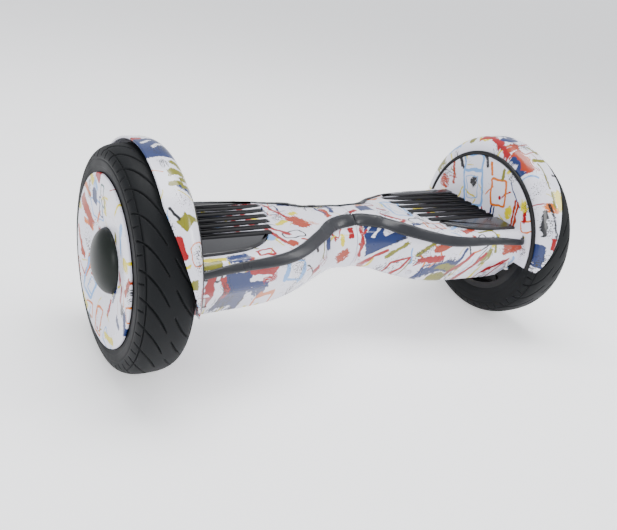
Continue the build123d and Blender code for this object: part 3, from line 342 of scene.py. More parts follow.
FRONT_RIGHT_MARKS = (
    (BLACK, 170, -117, 12, 0.7, 60, 0.5, 0, 1.5, 0.1),
    (OLIVE, 181, -118, 10, 5, 60, 2, 0, 8, 0.36),
    (OLIVE, 191, -104, 13, 1.4, 96, 1, 0, 2, 0.15),
    (ROYAL, 140, -112, 9, 2.4, 60, 1, 0, 3, 0.15),
    (ORANGE, 160, -111, 7, 1.6, 30, 1, 0, 2, 0.15),
    (ROYAL, 26, -42, 14, 20, 0, 2, 0, 4, 0.16),
    (ROYAL, 40, -61, 25, 9, 12, 2, 0, 5, 0.2),
    (WHITE, 20, -33, 8, 1.6, 58, 1, 0, 3, 0.2),
    (WHITE, 30, -41, 11, 1.9, 58, 1, 0, 4, 0.25),
    (RED, 8, -48, 27, 2.8, 90, 1.5, 0, 3, 0.1),
    (RED, 14, -39, 7, 2.0, 46, 1.5, 0, 3, 0.1),
    (RED, 6, -60, 5, 1.8, -48, 1.5, 0, 3, 0.1),
    (BLACK, 60, -63, 8, 3, 10, 2, 0, 6, 0.5),
    (OLIVE, 55, -78, 15, 3.0, 24, 1, 0, 6, 0.3),
    (OLIVE, 89, -90, 13, 3.0, 30, 1, 0, 6, 0.3),
    (RED, 30, -79, 17, 2.0, 16, 1, 0, 3, 0.2),
    (RED, 62, -99, 9, 5, -6, 1, 3, 1.6, 0.1),
    (RED, 98, -107, 18, 4, -6, 1, 0, 5, 0.2),
    (RUST, 107, -94, 8, 5.5, 20, 5, 0, 3, 0.1),
    (RUST, 121, -88, 13, 1.6, 24, 1, 0, 1.5, 0.1),
    (RUST, 124, -92, 13, 1.4, 24, 1, 0, 1.5, 0.1),
    (ROYAL, 116, -119, 24, 5, -6, 3, 0, 8, 0.3),
    (OLIVE, 130, -122, 18, 2.0, -12, 1.5, 0, 2, 0.15),
    (OLIVE, 128, -129, 14, 3.4, -6, 3, 0, 3, 0.15),
    (RED, 148, -120, 13, 2.6, 35, 1, 0, 3, 0.15),
    (RED, 166, -128, 19, 2.6, 48, 1, 0, 3, 0.15),
    (RUST, 220, -112, 16, 9, 8, 3, 0, 10, 0.32),
    (RED, 212, -136, 10, 6, 10, 1, 3, 1.6, 0.15),
)
SHELL_MARKS = {
    "upper_shell_left": DECK_LEFT_MARKS,
    "lower_shell_left": FRONT_LEFT_MARKS,
    "upper_shell_right": DECK_RIGHT_MARKS,
    "lower_shell_right": FRONT_RIGHT_MARKS,
}
for node_name, marks in SHELL_MARKS.items():
    refinish(node_name, printed_film("printed_film_" + node_name, over_body, SHELL_SEED, marks))


# ---- side panels -----------------------------------------------------------------------------
# A flat printed disc closes each half towards its wheel. It is welded to the end of the shells,
# and its upper half stands above the deck inside the wheel arch.

AXLE_Z = (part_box("axle_left")[0].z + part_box("axle_left")[1].z) / 2
WHEEL_X = (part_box("tyre_right")[0].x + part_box("tyre_right")[1].x) / 2


def facing_wheel(tree, coords):
    """Front to back by y, and up from the axle by z."""
    x, y, z = put(tree, "SeparateXYZ", [(0, coords)]).outputs
    return put(tree, "CombineXYZ", [(0, y), (1, maths(tree, "SUBTRACT", z, AXLE_Z))]).outputs[0]


RIGHT_PANEL_MARKS = (
    (SKY, 27, 66, 18, 37, -17, 4, 3.8, 1.2, 0.12),
    (SKY, 31, 80, 17, 2.4, -17, 2, 0, 1.5, 0.15),
    (SKY, 26, 56, 11, 16, -17, 3, 1.5, 1.2, 0.3),
    (ORANGE, -26, 66, 14, 18, -14, 3, 3.8, 1.2, 0.08),
    (ORANGE, -4, 93, 2.6, 10, -14, 2, 0, 2, 0.15),
    (RED, -30, 61, 2.6, 2.6, 0, 2.6, 0, 1, 0),
    (OLIVE, -28, 93, 3, 8, -10, 2, 0, 4, 0.3),
    (BLACK, 61, 84, 3, 9, -28, 2, 0, 2, 0.05),
    (BLACK, 56, 79, 6, 2.2, 36, 2, 0, 2, 0.05),
    (RUST, 71, 66, 2.2, 22, -17, 1.5, 0, 4, 0.35),
    (RUST, 85, 44, 10, 9, 0, 7, 0, 10, 0.4),
    (ROYAL, -20, 38, 1.6, 8, -12, 1, 0, 1.2, 0.05),
    (ROYAL, -26, 37, 1.6, 8, -12, 1, 0, 1.2, 0.05),
    (ROYAL, -57, 74, 19, 1.1, 47, 1, 0, 1.2, 0.05),
    (RUST, -63, 46, 22, 1.8, 84, 1.5, 0, 2, 0.12),
    (RUST, -68, 45, 22, 1.8, 84, 1.5, 0, 2, 0.12),
    (RED, -66, 22, 5, 8, 0, 5, 0, 4, 0.15),
    (YELLOW, -53, 46, 6, 9, 0, 6, 0, 8, 0.36),
)
LEFT_PANEL_MARKS = (
    (OLIVE, 24, 66, 22, 3, 12, 2, 0, 4, 0.3),
    (RED, -34, 62, 4, 24, 8, 3, 0, 5, 0.25),
    (SKY, -4, 60, 16, 22, 0, 4, 3.4, 1.4, 0.2),
    (RUST, 52, 58, 9, 16, 10, 6, 0, 10, 0.4),
    (ROYAL, -58, 46, 16, 5, 40, 3, 0, 6, 0.35),
)
PANELS = (("side_panel_left", 41.0, LEFT_PANEL_MARKS), ("side_panel_right", 57.0, RIGHT_PANEL_MARKS))
for node_name, seed, marks in PANELS:
    refinish(node_name, printed_film("printed_film_" + node_name, facing_wheel, seed, marks, 0.25, 0.1))


# ---- fenders ---------------------------------------------------------------------------------
# Each wheel arch is one moulded ABS hoop with the same film. Its crown turns out from the ring
# around the side panel and its outer edge sweeps back towards the body as it comes down.

CROWN_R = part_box("fender_right")[1].z - AXLE_Z
FENDER_X0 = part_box("fender_right")[0].x
FENDER_FOOT = AXLE_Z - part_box("fender_right")[0].z
FENDER_ROOT_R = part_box("fender_trim_right")[1].z - AXLE_Z + 0.0002
FENDER_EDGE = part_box("fender_right")[1].x
FENDER_WALL = 0.003
CROWN_RUN = 0.021                 # how far out the crown takes to turn flat
SECTION_STEPS = 26
FENDER_STEPS = 180
EDGE_ROUND = 0.0012               # how far the rolled edge stands past the walls
ROOT_DEPTH = 0.004
ROOT_STEP = 0.002


def finished(name, points, faces, material, sharp=35.0):
    """A smooth-shaded piece whose edges sharper than an angle stay crisp."""
    mesh = bpy.data.meshes.new(name)
    mesh.from_pydata([tuple(p) for p in points], [], [tuple(f) for f in faces])
    shape = bmesh.new()
    shape.from_mesh(mesh)
    bmesh.ops.remove_doubles(shape, verts=shape.verts, dist=1e-6)
    bmesh.ops.recalc_face_normals(shape, faces=shape.faces)
    shape.to_mesh(mesh)
    shape.free()
    mesh.polygons.foreach_set("use_smooth", [True] * len(mesh.polygons))
    mesh.set_sharp_from_angle(angle=math.radians(sharp))
    mesh.materials.append(material)
    piece = bpy.data.objects.new(name, mesh)
    bpy.context.scene.collection.objects.link(piece)
    return piece


def strip_of_rings(rings, closed_rings, closed_run):
    """Quads that join rows of points. Rows may close on themselves, and the last row may meet the first."""
    count = len(rings[0])
    points = [p for row in rings for p in row]
    faces = []
    rows = len(rings)
    for a in range(rows if closed_run else rows - 1):
        b = (a + 1) % rows
        for i in range(count if closed_rings else count - 1):
            j = (i + 1) % count
            faces.append((a * count + i, a * count + j, b * count + j, b * count + i))
    if closed_rings and not closed_run:
        faces.append(tuple(range(count)))
        faces.append(tuple((rows - 1) * count + i for i in reversed(range(count))))
    return points, faces


def smooth_between(xs, ys, x):
    """A smooth curve through points with rising xs, read at x."""
    xs, ys = np.asarray(xs, float), np.asarray(ys, float)
    slopes = np.gradient(ys, xs)
    k = int(np.clip(np.searchsorted(xs, x) - 1, 0, len(xs) - 2))
    h = xs[k + 1] - xs[k]
    u = (x - xs[k]) / h
    return ((2 * u**3 - 3 * u**2 + 1) * ys[k] + (u**3 - 2 * u**2 + u) * h * slopes[k]
            + (3 * u**2 - 2 * u**3) * ys[k + 1] + (u**3 - u**2) * h * slopes[k + 1])


def fender_reach(z):
    """How far out the fender's edge stands at a height above the ground."""
    heights = (AXLE_Z - 0.015, AXLE_Z, AXLE_Z + 0.0498, AXLE_Z + 0.0968)
    reach = (FENDER_EDGE - 0.035, FENDER_EDGE - 0.030, FENDER_EDGE - 0.014, FENDER_EDGE)
    return FENDER_EDGE if z >= heights[-1] else smooth_between(heights, reach, z)


def fender_section(angle_share, inset):
    """Points of one section, as (x, radius), from the root over the crown to the swept edge."""
    def at(s):
        if s < 1:
            turn = s * math.pi / 2
            return (FENDER_X0 + CROWN_RUN - (CROWN_RUN - inset) * math.cos(turn),
                    FENDER_ROOT_R + (CROWN_R - FENDER_ROOT_R - inset) * math.sin(turn))
        return FENDER_X0 + CROWN_RUN + (s - 1) * (FENDER_EDGE - FENDER_X0 - CROWN_RUN), CROWN_R - inset

    def height(radius):
        return AXLE_Z + radius * math.cos(angle_share * math.acos(-FENDER_FOOT / radius))

    low, high = 0.0, 2.0
    if at(2.0)[0] > fender_reach(height(at(2.0)[1])) - 1e-6:
        for _ in range(40):
            middle = (low + high) / 2
            x, radius = at(middle)
            if x > fender_reach(height(radius)):
                high = middle
            else:
                low = middle
    return [at(high * k / SECTION_STEPS) for k in range(SECTION_STEPS + 1)]


def fender_profile(angle_share):
    """The closed section: out over the crown, round the rolled edge, back inside and down to the root."""
    outer = fender_section(angle_share, 0.0)
    inner = fender_section(angle_share, FENDER_WALL)
    (x0, r0), (x1, r1) = outer[-1], inner[-1]
    ahead = Vector((x0 - outer[-2][0], r0 - outer[-2][1])).normalized()

    def set_back(points, first):
        return [(x - ahead.x * EDGE_ROUND, r - ahead.y * EDGE_ROUND) if i > first else (x, r)
                for i, (x, r) in enumerate(points)]

    roll = []
    for turn in (30, 60, 90, 120, 150):
        c, s = math.cos(math.radians(turn)), math.sin(math.radians(turn))
        roll.append(((x0 + x1) / 2 + (x0 - x1) / 2 * c + ahead.x * EDGE_ROUND * s,
                     (r0 + r1) / 2 + (r0 - r1) / 2 * c + ahead.y * EDGE_ROUND * s))
    root = [(FENDER_X0 + ROOT_STEP, FENDER_ROOT_R - ROOT_DEPTH), (FENDER_X0, FENDER_ROOT_R - ROOT_DEPTH)]
    near_edge = SECTION_STEPS - 4
    return set_back(outer, near_edge) + set_back(roll, -1) + set_back(inner, near_edge)[::-1] + root


def hoop(side, sections):
    """Rings through (x, radius) sections, from the front foot over the top of the wheel to the rear foot."""
    rings = []
    for k, section in enumerate(sections):
        share = -1 + 2 * k / (len(sections) - 1)
        row = []
        for x, radius in section:
            angle = share * math.acos(-FENDER_FOOT / radius)
            row.append((side * x, radius * math.sin(angle), AXLE_Z + radius * math.cos(angle)))
        rings.append(row)
    return rings


def make_fender(side, word, film):
    sections = [fender_profile(-1 + 2 * k / FENDER_STEPS) for k in range(FENDER_STEPS + 1)]
    points, faces = strip_of_rings(hoop(side, sections), True, False)
    return finished("fender_shell_" + word, points, faces, film)


def around_wheel(tree, coords):
    """Round the hoop by angle, from the top towards the back, and out along the axle."""
    x, y, z = put(tree, "SeparateXYZ", [(0, coords)]).outputs
    angle = maths(tree, "ARCTAN2", y, maths(tree, "SUBTRACT", z, AXLE_Z))
    return put(tree, "CombineXYZ", [(0, maths(tree, "MULTIPLY", angle, CROWN_R)),
                                    (1, maths(tree, "ABSOLUTE", x))]).outputs[0]


LEFT_FENDER_MARKS = (
    (ROYAL, -13, 261, 24, 23, 0, 2, 0, 4, 0.10),
    (WHITE, -2, 270, 1.8, 8, 32, 1.5, 0, 3, 0.2),
    (WHITE, -11, 260, 2.4, 10, 32, 1.5, 0, 4, 0.25),
    (BLACK, -48, 266, 7, 6, 0, 4, 0, 9, 0.5),
    (OLIVE, -47, 251, 3.6, 8, -24, 2, 0, 5, 0.3),
    (OLIVE, -60, 256, 4.2, 11, 10, 2, 0, 5, 0.3),
    (OLIVE, -67, 249, 3, 7, 24, 2, 0, 5, 0.3),
    (OLIVE, -75, 260, 2.8, 9, 0, 1, 0, 2, 0.15),
    (OLIVE, -78, 249, 2.4, 6, 12, 1, 0, 2, 0.15),
    (OLIVE, -98, 244.5, 22, 1.5, 0, 1, 0, 2, 0.15),
    (OLIVE, -117, 262, 7.5, 7.5, 45, 1, 0, 3, 0.1),
    (OLIVE, -114, 252, 2.6, 8, -14, 1, 0, 3, 0.15),
    (BLACK, -108, 272, 8, 1.8, 30, 1.5, 0, 3, 0.2),
    (RED, -143, 269, 12, 4.5, 10, 3, 0, 5, 0.2),
    (ORANGE, -151, 251, 12.5, 7.6, 0, 7.6, 1.4, 1.6, 0.36),
    (OLIVE, -181, 256, 6, 4, 0, 3, 0, 5, 0.3),
    (RED, -205, 244, 17, 3, 0, 2, 0, 5, 0.2),
    (RED, 12, 276, 4, 7, 0, 2, 0, 3, 0.1),
    (ORANGE, 40, 262, 18, 3, 60, 2, 0, 4, 0.3),
    (ROYAL, 84, 258, 16, 9, 20, 3, 0, 7, 0.3),
)
RIGHT_FENDER_MARKS = (
    (ROYAL, 22, 271, 17, 8, 0, 2, 0, 4, 0.12),
    (ROYAL, 1, 262, 12, 9, -14, 5, 0, 3, 0.08),
    (WHITE, 27, 270, 8, 1.6, 34, 1, 0, 3, 0.2),
    (WHITE, 14, 266, 6, 1.3, 34, 1, 0, 3, 0.2),
    (RED, 32, 254, 14, 4, -6, 2, 0, 4, 0.1),
    (RED, 8, 250, 13, 3.6, 14, 2, 0, 3, 0.1),
    (RED, -14, 245, 13, 1.6, 10, 1, 0, 2, 0.1),
    (OLIVE, 62, 250, 6, 4.5, 0, 4, 0, 3, 0.1),
    (RUST, -49, 248, 23, 5, 0, 4, 0, 7, 0.25),
    (RUST, -62, 254, 14, 3.4, 0, 2, 0, 6, 0.5),
    (ROYAL, -50, 243, 18, 1.5, 0, 1, 0, 2, 0.1),
    (BLACK, -28, 266, 8, 4, 0, 3, 0, 8, 0.5),
    (OLIVE, -35, 274, 10, 2.2, -20, 1, 0, 5, 0.3),
    (OLIVE, -58, 268, 2.6, 12, 0, 1, 0, 3, 0.2),
    (OLIVE, -84, 262, 21, 1.3, 0, 1, 0, 2, 0.15),
    (YELLOW, -122, 271, 15, 7, 0, 6, 0, 9, 0.3),
    (OLIVE, -119, 262, 13, 2, 8, 2, 0, 5, 0.3),
    (BLACK, -152, 247, 19, 2, 4, 2, 0, 3, 0.15),
    (BLACK, -150, 256, 26, 1.8, -6, 1, 0, 6, 0.4),
    (RED, -181, 255, 9, 2.6, 6, 1, 0, 3, 0.2),
    (ROYAL, -201, 244, 19, 3, 0, 2, 0, 4, 0.2),
    (SKY, 102, 248, 17, 2, 0, 1, 0, 3, 0.2),
    (OLIVE, 140, 246, 14, 4, 0, 3, 0, 6, 0.3),
)
for side, word, body, seed, marks in ((-1, "left", "left_half", 71.0, LEFT_FENDER_MARKS),
                                      (1, "right", "right_half", 89.0, RIGHT_FENDER_MARKS)):
    fender = make_fender(side, word, printed_film("printed_film_fender_" + word, around_wheel, seed, marks))
    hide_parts("fender_" + word)
    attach(fender, body)


# ---- fender trim -----------------------------------------------------------------------------
# A black PVC bead, half round, is pressed into the joint between each side panel and its fender.

grain, into, out = group_of("moulded grain", (("Scale", "Float", 900.0), ("Low", "Float", 0.3),
                                              ("High", "Float", 0.5), ("Depth", "Float", 0.0001)),
                            (("Roughness", "Float"), ("Normal", "Vector"), ("Mask", "Float")))
t = grain
coords = put(t, "TexCoord").outputs["Object"]
fine = put(t, "TexNoise", [("Vector", coords), ("Scale", into["Scale"]), ("Detail", 3.0)]).outputs[0]
broad = put(t, "TexNoise", [("Vector", coords), ("Scale", 18.0), ("Detail", 4.0)]).outputs[0]
rough = put(t, "MapRange", [("Value", broad), ("From Min", 0.3), ("From Max", 0.7), ("To Min", into["Low"]),
                            ("To Max", into["High"])]).outputs[0]
t.links.new(rough, out["Roughness"])
raised_grain = put(t, "Bump", [("Height", fine), ("Strength", 0.35), ("Distance", into["Depth"])]).outputs[0]
t.links.new(raised_grain, out["Normal"])
t.links.new(broad, out["Mask"])


def moulded(name, colour, worn, scale, low, high, depth, **shader):
    """Moulded plastic, rubber or metal: two tones in broad drifts, with a fine grain."""
    material = bpy.data.materials.new(name)
    material.use_nodes = True
    tree = material.node_tree
    tree.nodes.clear()
    skin_grain = use(tree, grain, Scale=scale, Low=low, High=high, Depth=depth)
    tone = mixed(tree, skin_grain["Mask"], (*colour, 1), (*worn, 1))
    skin = put(tree, "BsdfPrincipled", [("Base Color", tone), ("Roughness", skin_grain["Roughness"]),
                                        ("Normal", skin_grain["Normal"])])
    for socket, value in shader.items():
        skin.inputs[socket.replace("_", " ")].default_value = value
    tree.links.new(skin.outputs[0], put(tree, "OutputMaterial").inputs[0])
    return material


trim_black = moulded("trim_black", (0.007, 0.007, 0.008), (0.014, 0.014, 0.015), 1500, 0.34, 0.48, 0.00004,
                     Specular_IOR_Level=0.18)
TRIM_R0 = 0.1074
TRIM_R1 = 0.1132
TRIM_ROUND = 0.0024               # how far the half-round face stands out
TRIM_STEPS = 160
for side, word, body in ((-1, "left", "left_half"), (1, "right", "right_half")):
    low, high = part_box("fender_trim_" + word)
    x_in, x_out = sorted((abs(low.x), abs(high.x)))
    profile = [(x_out, TRIM_R1), (x_in + TRIM_ROUND, TRIM_R1)]
    for turn in range(15, 180, 15):
        a = math.radians(turn)
        profile.append((x_in + TRIM_ROUND * (1 - math.sin(a)),
                        (TRIM_R0 + TRIM_R1) / 2 + (TRIM_R1 - TRIM_R0) / 2 * math.cos(a)))
    profile += [(x_in + TRIM_ROUND, TRIM_R0), (x_out, TRIM_R0)]
    rings = hoop(side, [profile] * (TRIM_STEPS + 1))
    bead = finished("trim_bead_" + word, *strip_of_rings(rings, True, False), trim_black)
    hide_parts("fender_trim_" + word)
    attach(bead, body)


# ---- bumper strips ---------------------------------------------------------------------------
# A satin dark-grey PVC strip covers the joint of the shells, front and back, on each half. It is a
# half-round section that thins from the waist to the wheel, clipped over the joint.

STRIP_Z = (165.2, 162.0, 156.0, 151.0, 150.0, 149.5, 146.0)
STRIP_W = (17.6, 17.2, 16.0, 14.4, 12.0, 10.0, 8.0)
STRIP_PROUD = 0.0031
STRIP_SINK = 0.0006               # how far its edges lie under the shells' skin
STRIP_BACK = 0.0016               # how far its hidden back lies under it
STRIP_NOSE = 0.004                # length of the rounded end by the panel
STRIP_FLAT = 0.72                 # power that flattens the half-round
STRIP_STEPS = 140
END_GAP = 0.0001
WAIST_X = 0.03
WAIST_BEND = 1 / 0.0395           # the waist is round, so the strip's edges fall away there
PROBE_INSET = 0.0006
strip_grey = moulded("strip_grey", (0.016, 0.017, 0.020), (0.030, 0.031, 0.036), 1300, 0.27, 0.37, 0.00004,
                     IOR=1.48, Specular_IOR_Level=0.34)


def skin_of(*names):
    """The carried-over shells of one half, for laying pieces on their surface."""
    points, faces = [], []
    for shell_name in names:
        base = len(points)
        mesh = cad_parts[shell_name].data
        points += [v.co.copy() for v in mesh.vertices]
        faces += [[base + i for i in p.vertices] for p in mesh.polygons]
    return BVHTree.FromPolygons(points, faces)


for side, word, body in ((-1, "left", "left_half"), (1, "right", "right_half")):
    skin = skin_of("upper_shell_" + word, "lower_shell_" + word)
    body_end = min(abs(corner.x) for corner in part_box("side_panel_" + word))
    stations = [body_end * k / 6 for k in range(7)]
    for facing, place in ((-1, "front"), (1, "rear")):
        x_start, x_end = sorted(abs(corner.x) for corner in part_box(f"{place}_bumper_{word}"))
        lines = []
        for k in range(STRIP_STEPS + 1):
            x = x_start + END_GAP + (x_end - x_start - 2 * END_GAP) * k / STRIP_STEPS
            z = smooth_between(stations, STRIP_Z, x) * MM
            probe = min(max(x, x_start + PROBE_INSET), body_end - PROBE_INSET)
            before_skin = Vector((side * probe, facing * 0.2, z))
            hit, normal = skin.ray_cast(before_skin, Vector((0, -facing, 0)))[:2]
            lines.append((x, hit, normal))
        rings = []
        for k, (x, hit, normal) in enumerate(lines):
            if normal.y * facing < 0:
                normal = -normal
            ahead = (lines[min(k + 2, STRIP_STEPS)][1] - lines[max(k - 2, 0)][1]).normalized()
            normal = (normal - ahead * normal.dot(ahead)).normalized()
            across = ahead.cross(normal).normalized()
            half = smooth_between(stations, STRIP_W, x) * MM / 2
            centre = Vector((side * x, hit.y, hit.z))
            to_end = (x_end - x) / STRIP_NOSE
            proud = STRIP_PROUD * math.sqrt(max(1 - (1 - min(to_end, 1)) ** 2, 0.04))
            bend = WAIST_BEND if x < WAIST_X else 0.0
            row = []
            for turn in range(0, 181, 12):
                a = math.radians(turn)
                reach = half * math.copysign(abs(math.cos(a)) ** STRIP_FLAT, math.cos(a))
                lift = proud * math.sin(a) ** STRIP_FLAT - STRIP_SINK - bend * reach * reach / 2
                row.append(centre + across * reach + normal * lift)
            for reach in (-half * 0.9, half * 0.9):
                row.append(centre + across * reach + normal * (-STRIP_BACK - bend * half * half / 2))
            rings.append(row)
        strip = finished(f"bumper_strip_{place}_{word}", *strip_of_rings(rings, True, False), strip_grey, 40)
        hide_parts(f"{place}_bumper_{word}")
        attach(strip, body)


# ---- foot pads -------------------------------------------------------------------------------
# One EPDM rubber mat on each half: six rounded bars and two crescents stand up through slots in
# the deck from a thin plate below. The rider's foot presses the whole mat onto its switches.

PAD_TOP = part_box("foot_pad_right")[1].z
PAD_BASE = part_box("foot_pad_right")[0].z + 0.0024
PAD_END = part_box("foot_pad_right")[1].x
BAR_PITCH = 15.7                  # mm, as the other outlines of the mat
REAR_BAR = (96.7, 51)
BARS = [(REAR_BAR[0] + 0.13 * row * BAR_PITCH + 0.0021 * (row * BAR_PITCH) ** 2,
         REAR_BAR[1] - row * BAR_PITCH) for row in range(6)]
BAR_HALF = 0.0055
BAR_CORNER = 0.0008
CRESCENTS = (((130, -37), (141, -51), (160, -64), (190, -72)),
             ((104, 60), (122, 66), (150, 70.5), (190, 73.5)))
CRESCENT_ENDS = (-75, 74.5)
CRESCENT_END_X = 236
PLATE_MARGIN = (0.004, 0.002)     # how far the plate reaches past the bars and crescents
PLATE_ENDS = (-0.077, 0.0765)
BAR_ROOT = 0.001                  # how far bars and crescents sink into the plate
pad_rubber = moulded("pad_rubber", (0.008, 0.008, 0.009), (0.016, 0.016, 0.018), 1100, 0.38, 0.52, 0.00008,
                     Specular_IOR_Level=0.16)
crescent_rubber = moulded("crescent_rubber", (0.014, 0.014, 0.015), (0.030, 0.030, 0.033), 900, 0.18, 0.30,
                          0.00005, Specular_IOR_Level=0.4)


def raised(outline, z0, z1, drop, rounding, steps=6):
    """A block with a given outline whose top edge is rounded over, by a drop and a distance in."""
    count = len(outline)
    normals = []
    for i in range(count):
        before, after = Vector(outline[i - 1]), Vector(outline[(i + 1) % count])
        along_edge = (after - before).normalized()
        normals.append(Vector((along_edge.y, -along_edge.x)))
    area = sum(outline[i - 1][0] * outline[i][1] - outline[i][0] * outline[i - 1][1] for i in range(count))
    flip = 1 if area > 0 else -1
    levels = [(z0, 0.0), (z1 - drop, 0.0)]
    for k in range(1, steps + 1):
        a = math.pi / 2 * k / steps
        levels.append((z1 - drop + drop * math.sin(a), rounding * (1 - math.cos(a))))
    rings = [[(x - flip * n.x * inset, y - flip * n.y * inset, z) for (x, y), n in zip(outline, normals)]
             for z, inset in levels]
    return strip_of_rings(rings, True, False)


def blocks(outlines, drop, rounding, steps=6):
    """Points and faces of several blocks that stand up from the plate to the top of the mat."""
    points, faces = [], []
    for outline in outlines:
        more, quads = raised(outline, PAD_BASE - BAR_ROOT, PAD_TOP, drop, rounding, steps)
        faces += [tuple(len(points) + i for i in q) for q in quads]
        points += more
    return points, faces


def bar_outline(tip, y, side):
    """A bar with a rounded tip and a squared end by the panel."""
    outline = []
    nose = BAR_HALF * 0.8
    for turn in range(90, 271, 15):
        a = math.radians(turn)
        outline.append((tip + nose + nose * math.cos(a), y + BAR_HALF * math.sin(a)))
    outline += [(PAD_END - BAR_CORNER, y - BAR_HALF), (PAD_END, y - BAR_HALF + BAR_CORNER),
                (PAD_END, y + BAR_HALF - BAR_CORNER), (PAD_END - BAR_CORNER, y + BAR_HALF)]
    return [(side * x, yy) for x, yy in outline]


def crescent_outline(edge, end_y, side):
    curve = []
    xs = [p[0] for p in edge] + [CRESCENT_END_X]
    ys = [p[1] for p in edge] + [end_y]
    for k in range(37):
        x = xs[0] + (xs[-1] - xs[0]) * (k / 36) ** 1.6
        curve.append((x * MM, smooth_between(xs, ys, x) * MM))
    back = [(PAD_END, edge[0][1] * MM)]
    return [(side * x, y) for x, y in curve + back]


def plate_outline(side):
    """The plate runs round the tips of the bars and the outer edges of the two crescents."""
    past, beside = PLATE_MARGIN
    tips = [(x * MM - past, y * MM) for x, y in BARS]
    front = [(x * MM - past, y * MM - beside) for x, y in CRESCENTS[0]] + [(PAD_END, PLATE_ENDS[0])]
    rear = [(x * MM - past, y * MM + beside) for x, y in CRESCENTS[1]] + [(PAD_END, PLATE_ENDS[1])]
    return [(side * x, y) for x, y in rear[::-1] + tips + front]


for side, word in ((-1, "left"), (1, "right")):
    points, faces = blocks([bar_outline(x * MM, y * MM, side) for x, y in BARS], 0.0033, 0.0044, 8)
    bars = finished("pad_bars_" + word, points, faces, pad_rubber, 50)
    edges = zip(CRESCENTS, CRESCENT_ENDS)
    points, faces = blocks([crescent_outline(edge, end_y, side) for edge, end_y in edges], 0.0024, 0.003)
    crescents = finished("pad_crescents_" + word, points, faces, crescent_rubber, 50)
    plate_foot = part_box("foot_pad_" + word)[0].z
    points, faces = raised(plate_outline(side), plate_foot, PAD_BASE, 0.0006, 0.0006, 2)
    plate = finished("pad_plate_" + word, points, faces, pad_rubber, 50)
    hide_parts("foot_pad_" + word)
    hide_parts("foot_pad_" + word)
    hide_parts("foot_pad_" + word)
    for piece in (bars, crescents, plate):
        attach(piece, word + "_foot_pad")


# ---- tyres -----------------------------------------------------------------------------------
# Ten-inch pneumatic tyres of black rubber, moulded with swept grooves that run in from each
# shoulder, short sipes between them, a thin line along the shoulder and rings on the sidewall.

TYRE_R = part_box("tyre_right")[1].z - AXLE_Z
TYRE_HALF = (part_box("tyre_right")[1].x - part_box("tyre_right")[0].x) / 2
SHOULDER_R = 0.104
BEAD_R = 0.08405
SIDEWALL = (0.0069, 0.01995)      # how far the sidewall runs in and down to its bead
CROWN_POWER = 2 / 2.8
TREAD_REACH = 0.040               # way from the crown that the fine rows of points cover
TREAD_STEP = 0.00072
TURNS = 1180
GROOVES = 26
GROOVE_DEPTH = 0.0019
GROOVE_HALF = 0.00078
GROOVE_SLOPE = 0.0007             # width of a groove's sloped side
SWEPT = (0.003, 0.032)            # where the swept grooves start, and how far out they run
SWEEP = 1.3                       # how far they sweep, in groove pitches
SWEEP_POWER = 1.7
SWEEP_R = 0.118
SIPES = (0.0285, 0.0365)
SIPE_R = 0.115
SHOULDER_LINE = 0.0265
SIDEWALL_RINGS = ((0.0385, 0.35), (0.0475, 0.3), (0.0495, 0.3))
HOLLOW = ((0.0150, 0.0891), (0.0200, 0.0950), (0.0234, 0.104), (0.0205, 0.1125), (0.0130, 0.1180),
          (0, 0.1198))            # the inside, as (side, radius), from the bead to the crown
tyre_rubber = moulded("tyre_rubber", (0.0060, 0.0066, 0.0074), (0.012, 0.013, 0.014), 700, 0.46, 0.64,
                      0.00012, Specular_IOR_Level=0.10)


def tyre_section():
    """(side, radius, way from the crown) of the outside, from the crown to the bead."""
    half = []
    for k in range(1200):
        a = math.pi / 2 * (1 - k / 1199)
        half.append((TYRE_HALF * math.cos(a) ** CROWN_POWER,
                     SHOULDER_R + (TYRE_R - SHOULDER_R) * math.sin(a) ** CROWN_POWER))
    for k in range(1, 200):
        u = k / 199
        half.append((TYRE_HALF - SIDEWALL[0] * u**1.9, SHOULDER_R - SIDEWALL[1] * u))
    half = np.array(half)
    way = np.concatenate([[0], np.cumsum(np.hypot(*np.diff(half, axis=0).T))])
    stops = np.concatenate([np.arange(0, TREAD_REACH, TREAD_STEP), np.linspace(0.0405, way[-1], 26)])
    sides, radii = np.interp(stops, way, half[:, 0]), np.interp(stops, way, half[:, 1])
    return [(float(w), float(r), float(s)) for w, r, s in zip(sides, radii, stops)]


def cut_by(distance, half_width):
    """Depth share of a groove with sloped sides."""
    return np.clip((half_width - np.abs(distance)) / GROOVE_SLOPE + 0.5, 0, 1)


def tread_depth(turn, way):
    """Depth of the tread's grooves at angles round the tyre and a signed way from the crown."""
    flip = 1 if way >= 0 else -1
    a = abs(way)
    depth = np.zeros_like(turn)
    pitch = math.tau / GROOVES
    t = (a - SWEPT[0]) / SWEPT[1]
    phase = -turn * flip
    if 0 <= t <= 1:
        swept = SWEEP * pitch * (1 - t) ** SWEEP_POWER
        slope = SWEEP * pitch * SWEEP_POWER * (1 - t) ** (SWEEP_POWER - 1) / SWEPT[1] * SWEEP_R
        gap = ((phase - swept + pitch / 2) % pitch - pitch / 2) * SWEEP_R / math.hypot(1, slope)
        depth = np.maximum(depth, cut_by(gap, GROOVE_HALF * min(1, 0.35 + 4 * t * (1.12 - t))))
    if SIPES[0] <= a <= SIPES[1]:
        gap = ((phase + pitch) % pitch - pitch / 2) * SIPE_R
        depth = np.maximum(depth, 0.7 * cut_by(gap, 0.0006))
    for ring_way, deep in ((SHOULDER_LINE, 0.6), *SIDEWALL_RINGS):
        depth = np.maximum(depth, deep * float(cut_by(np.array(a - ring_way), 0.0005)))
    return depth * GROOVE_DEPTH


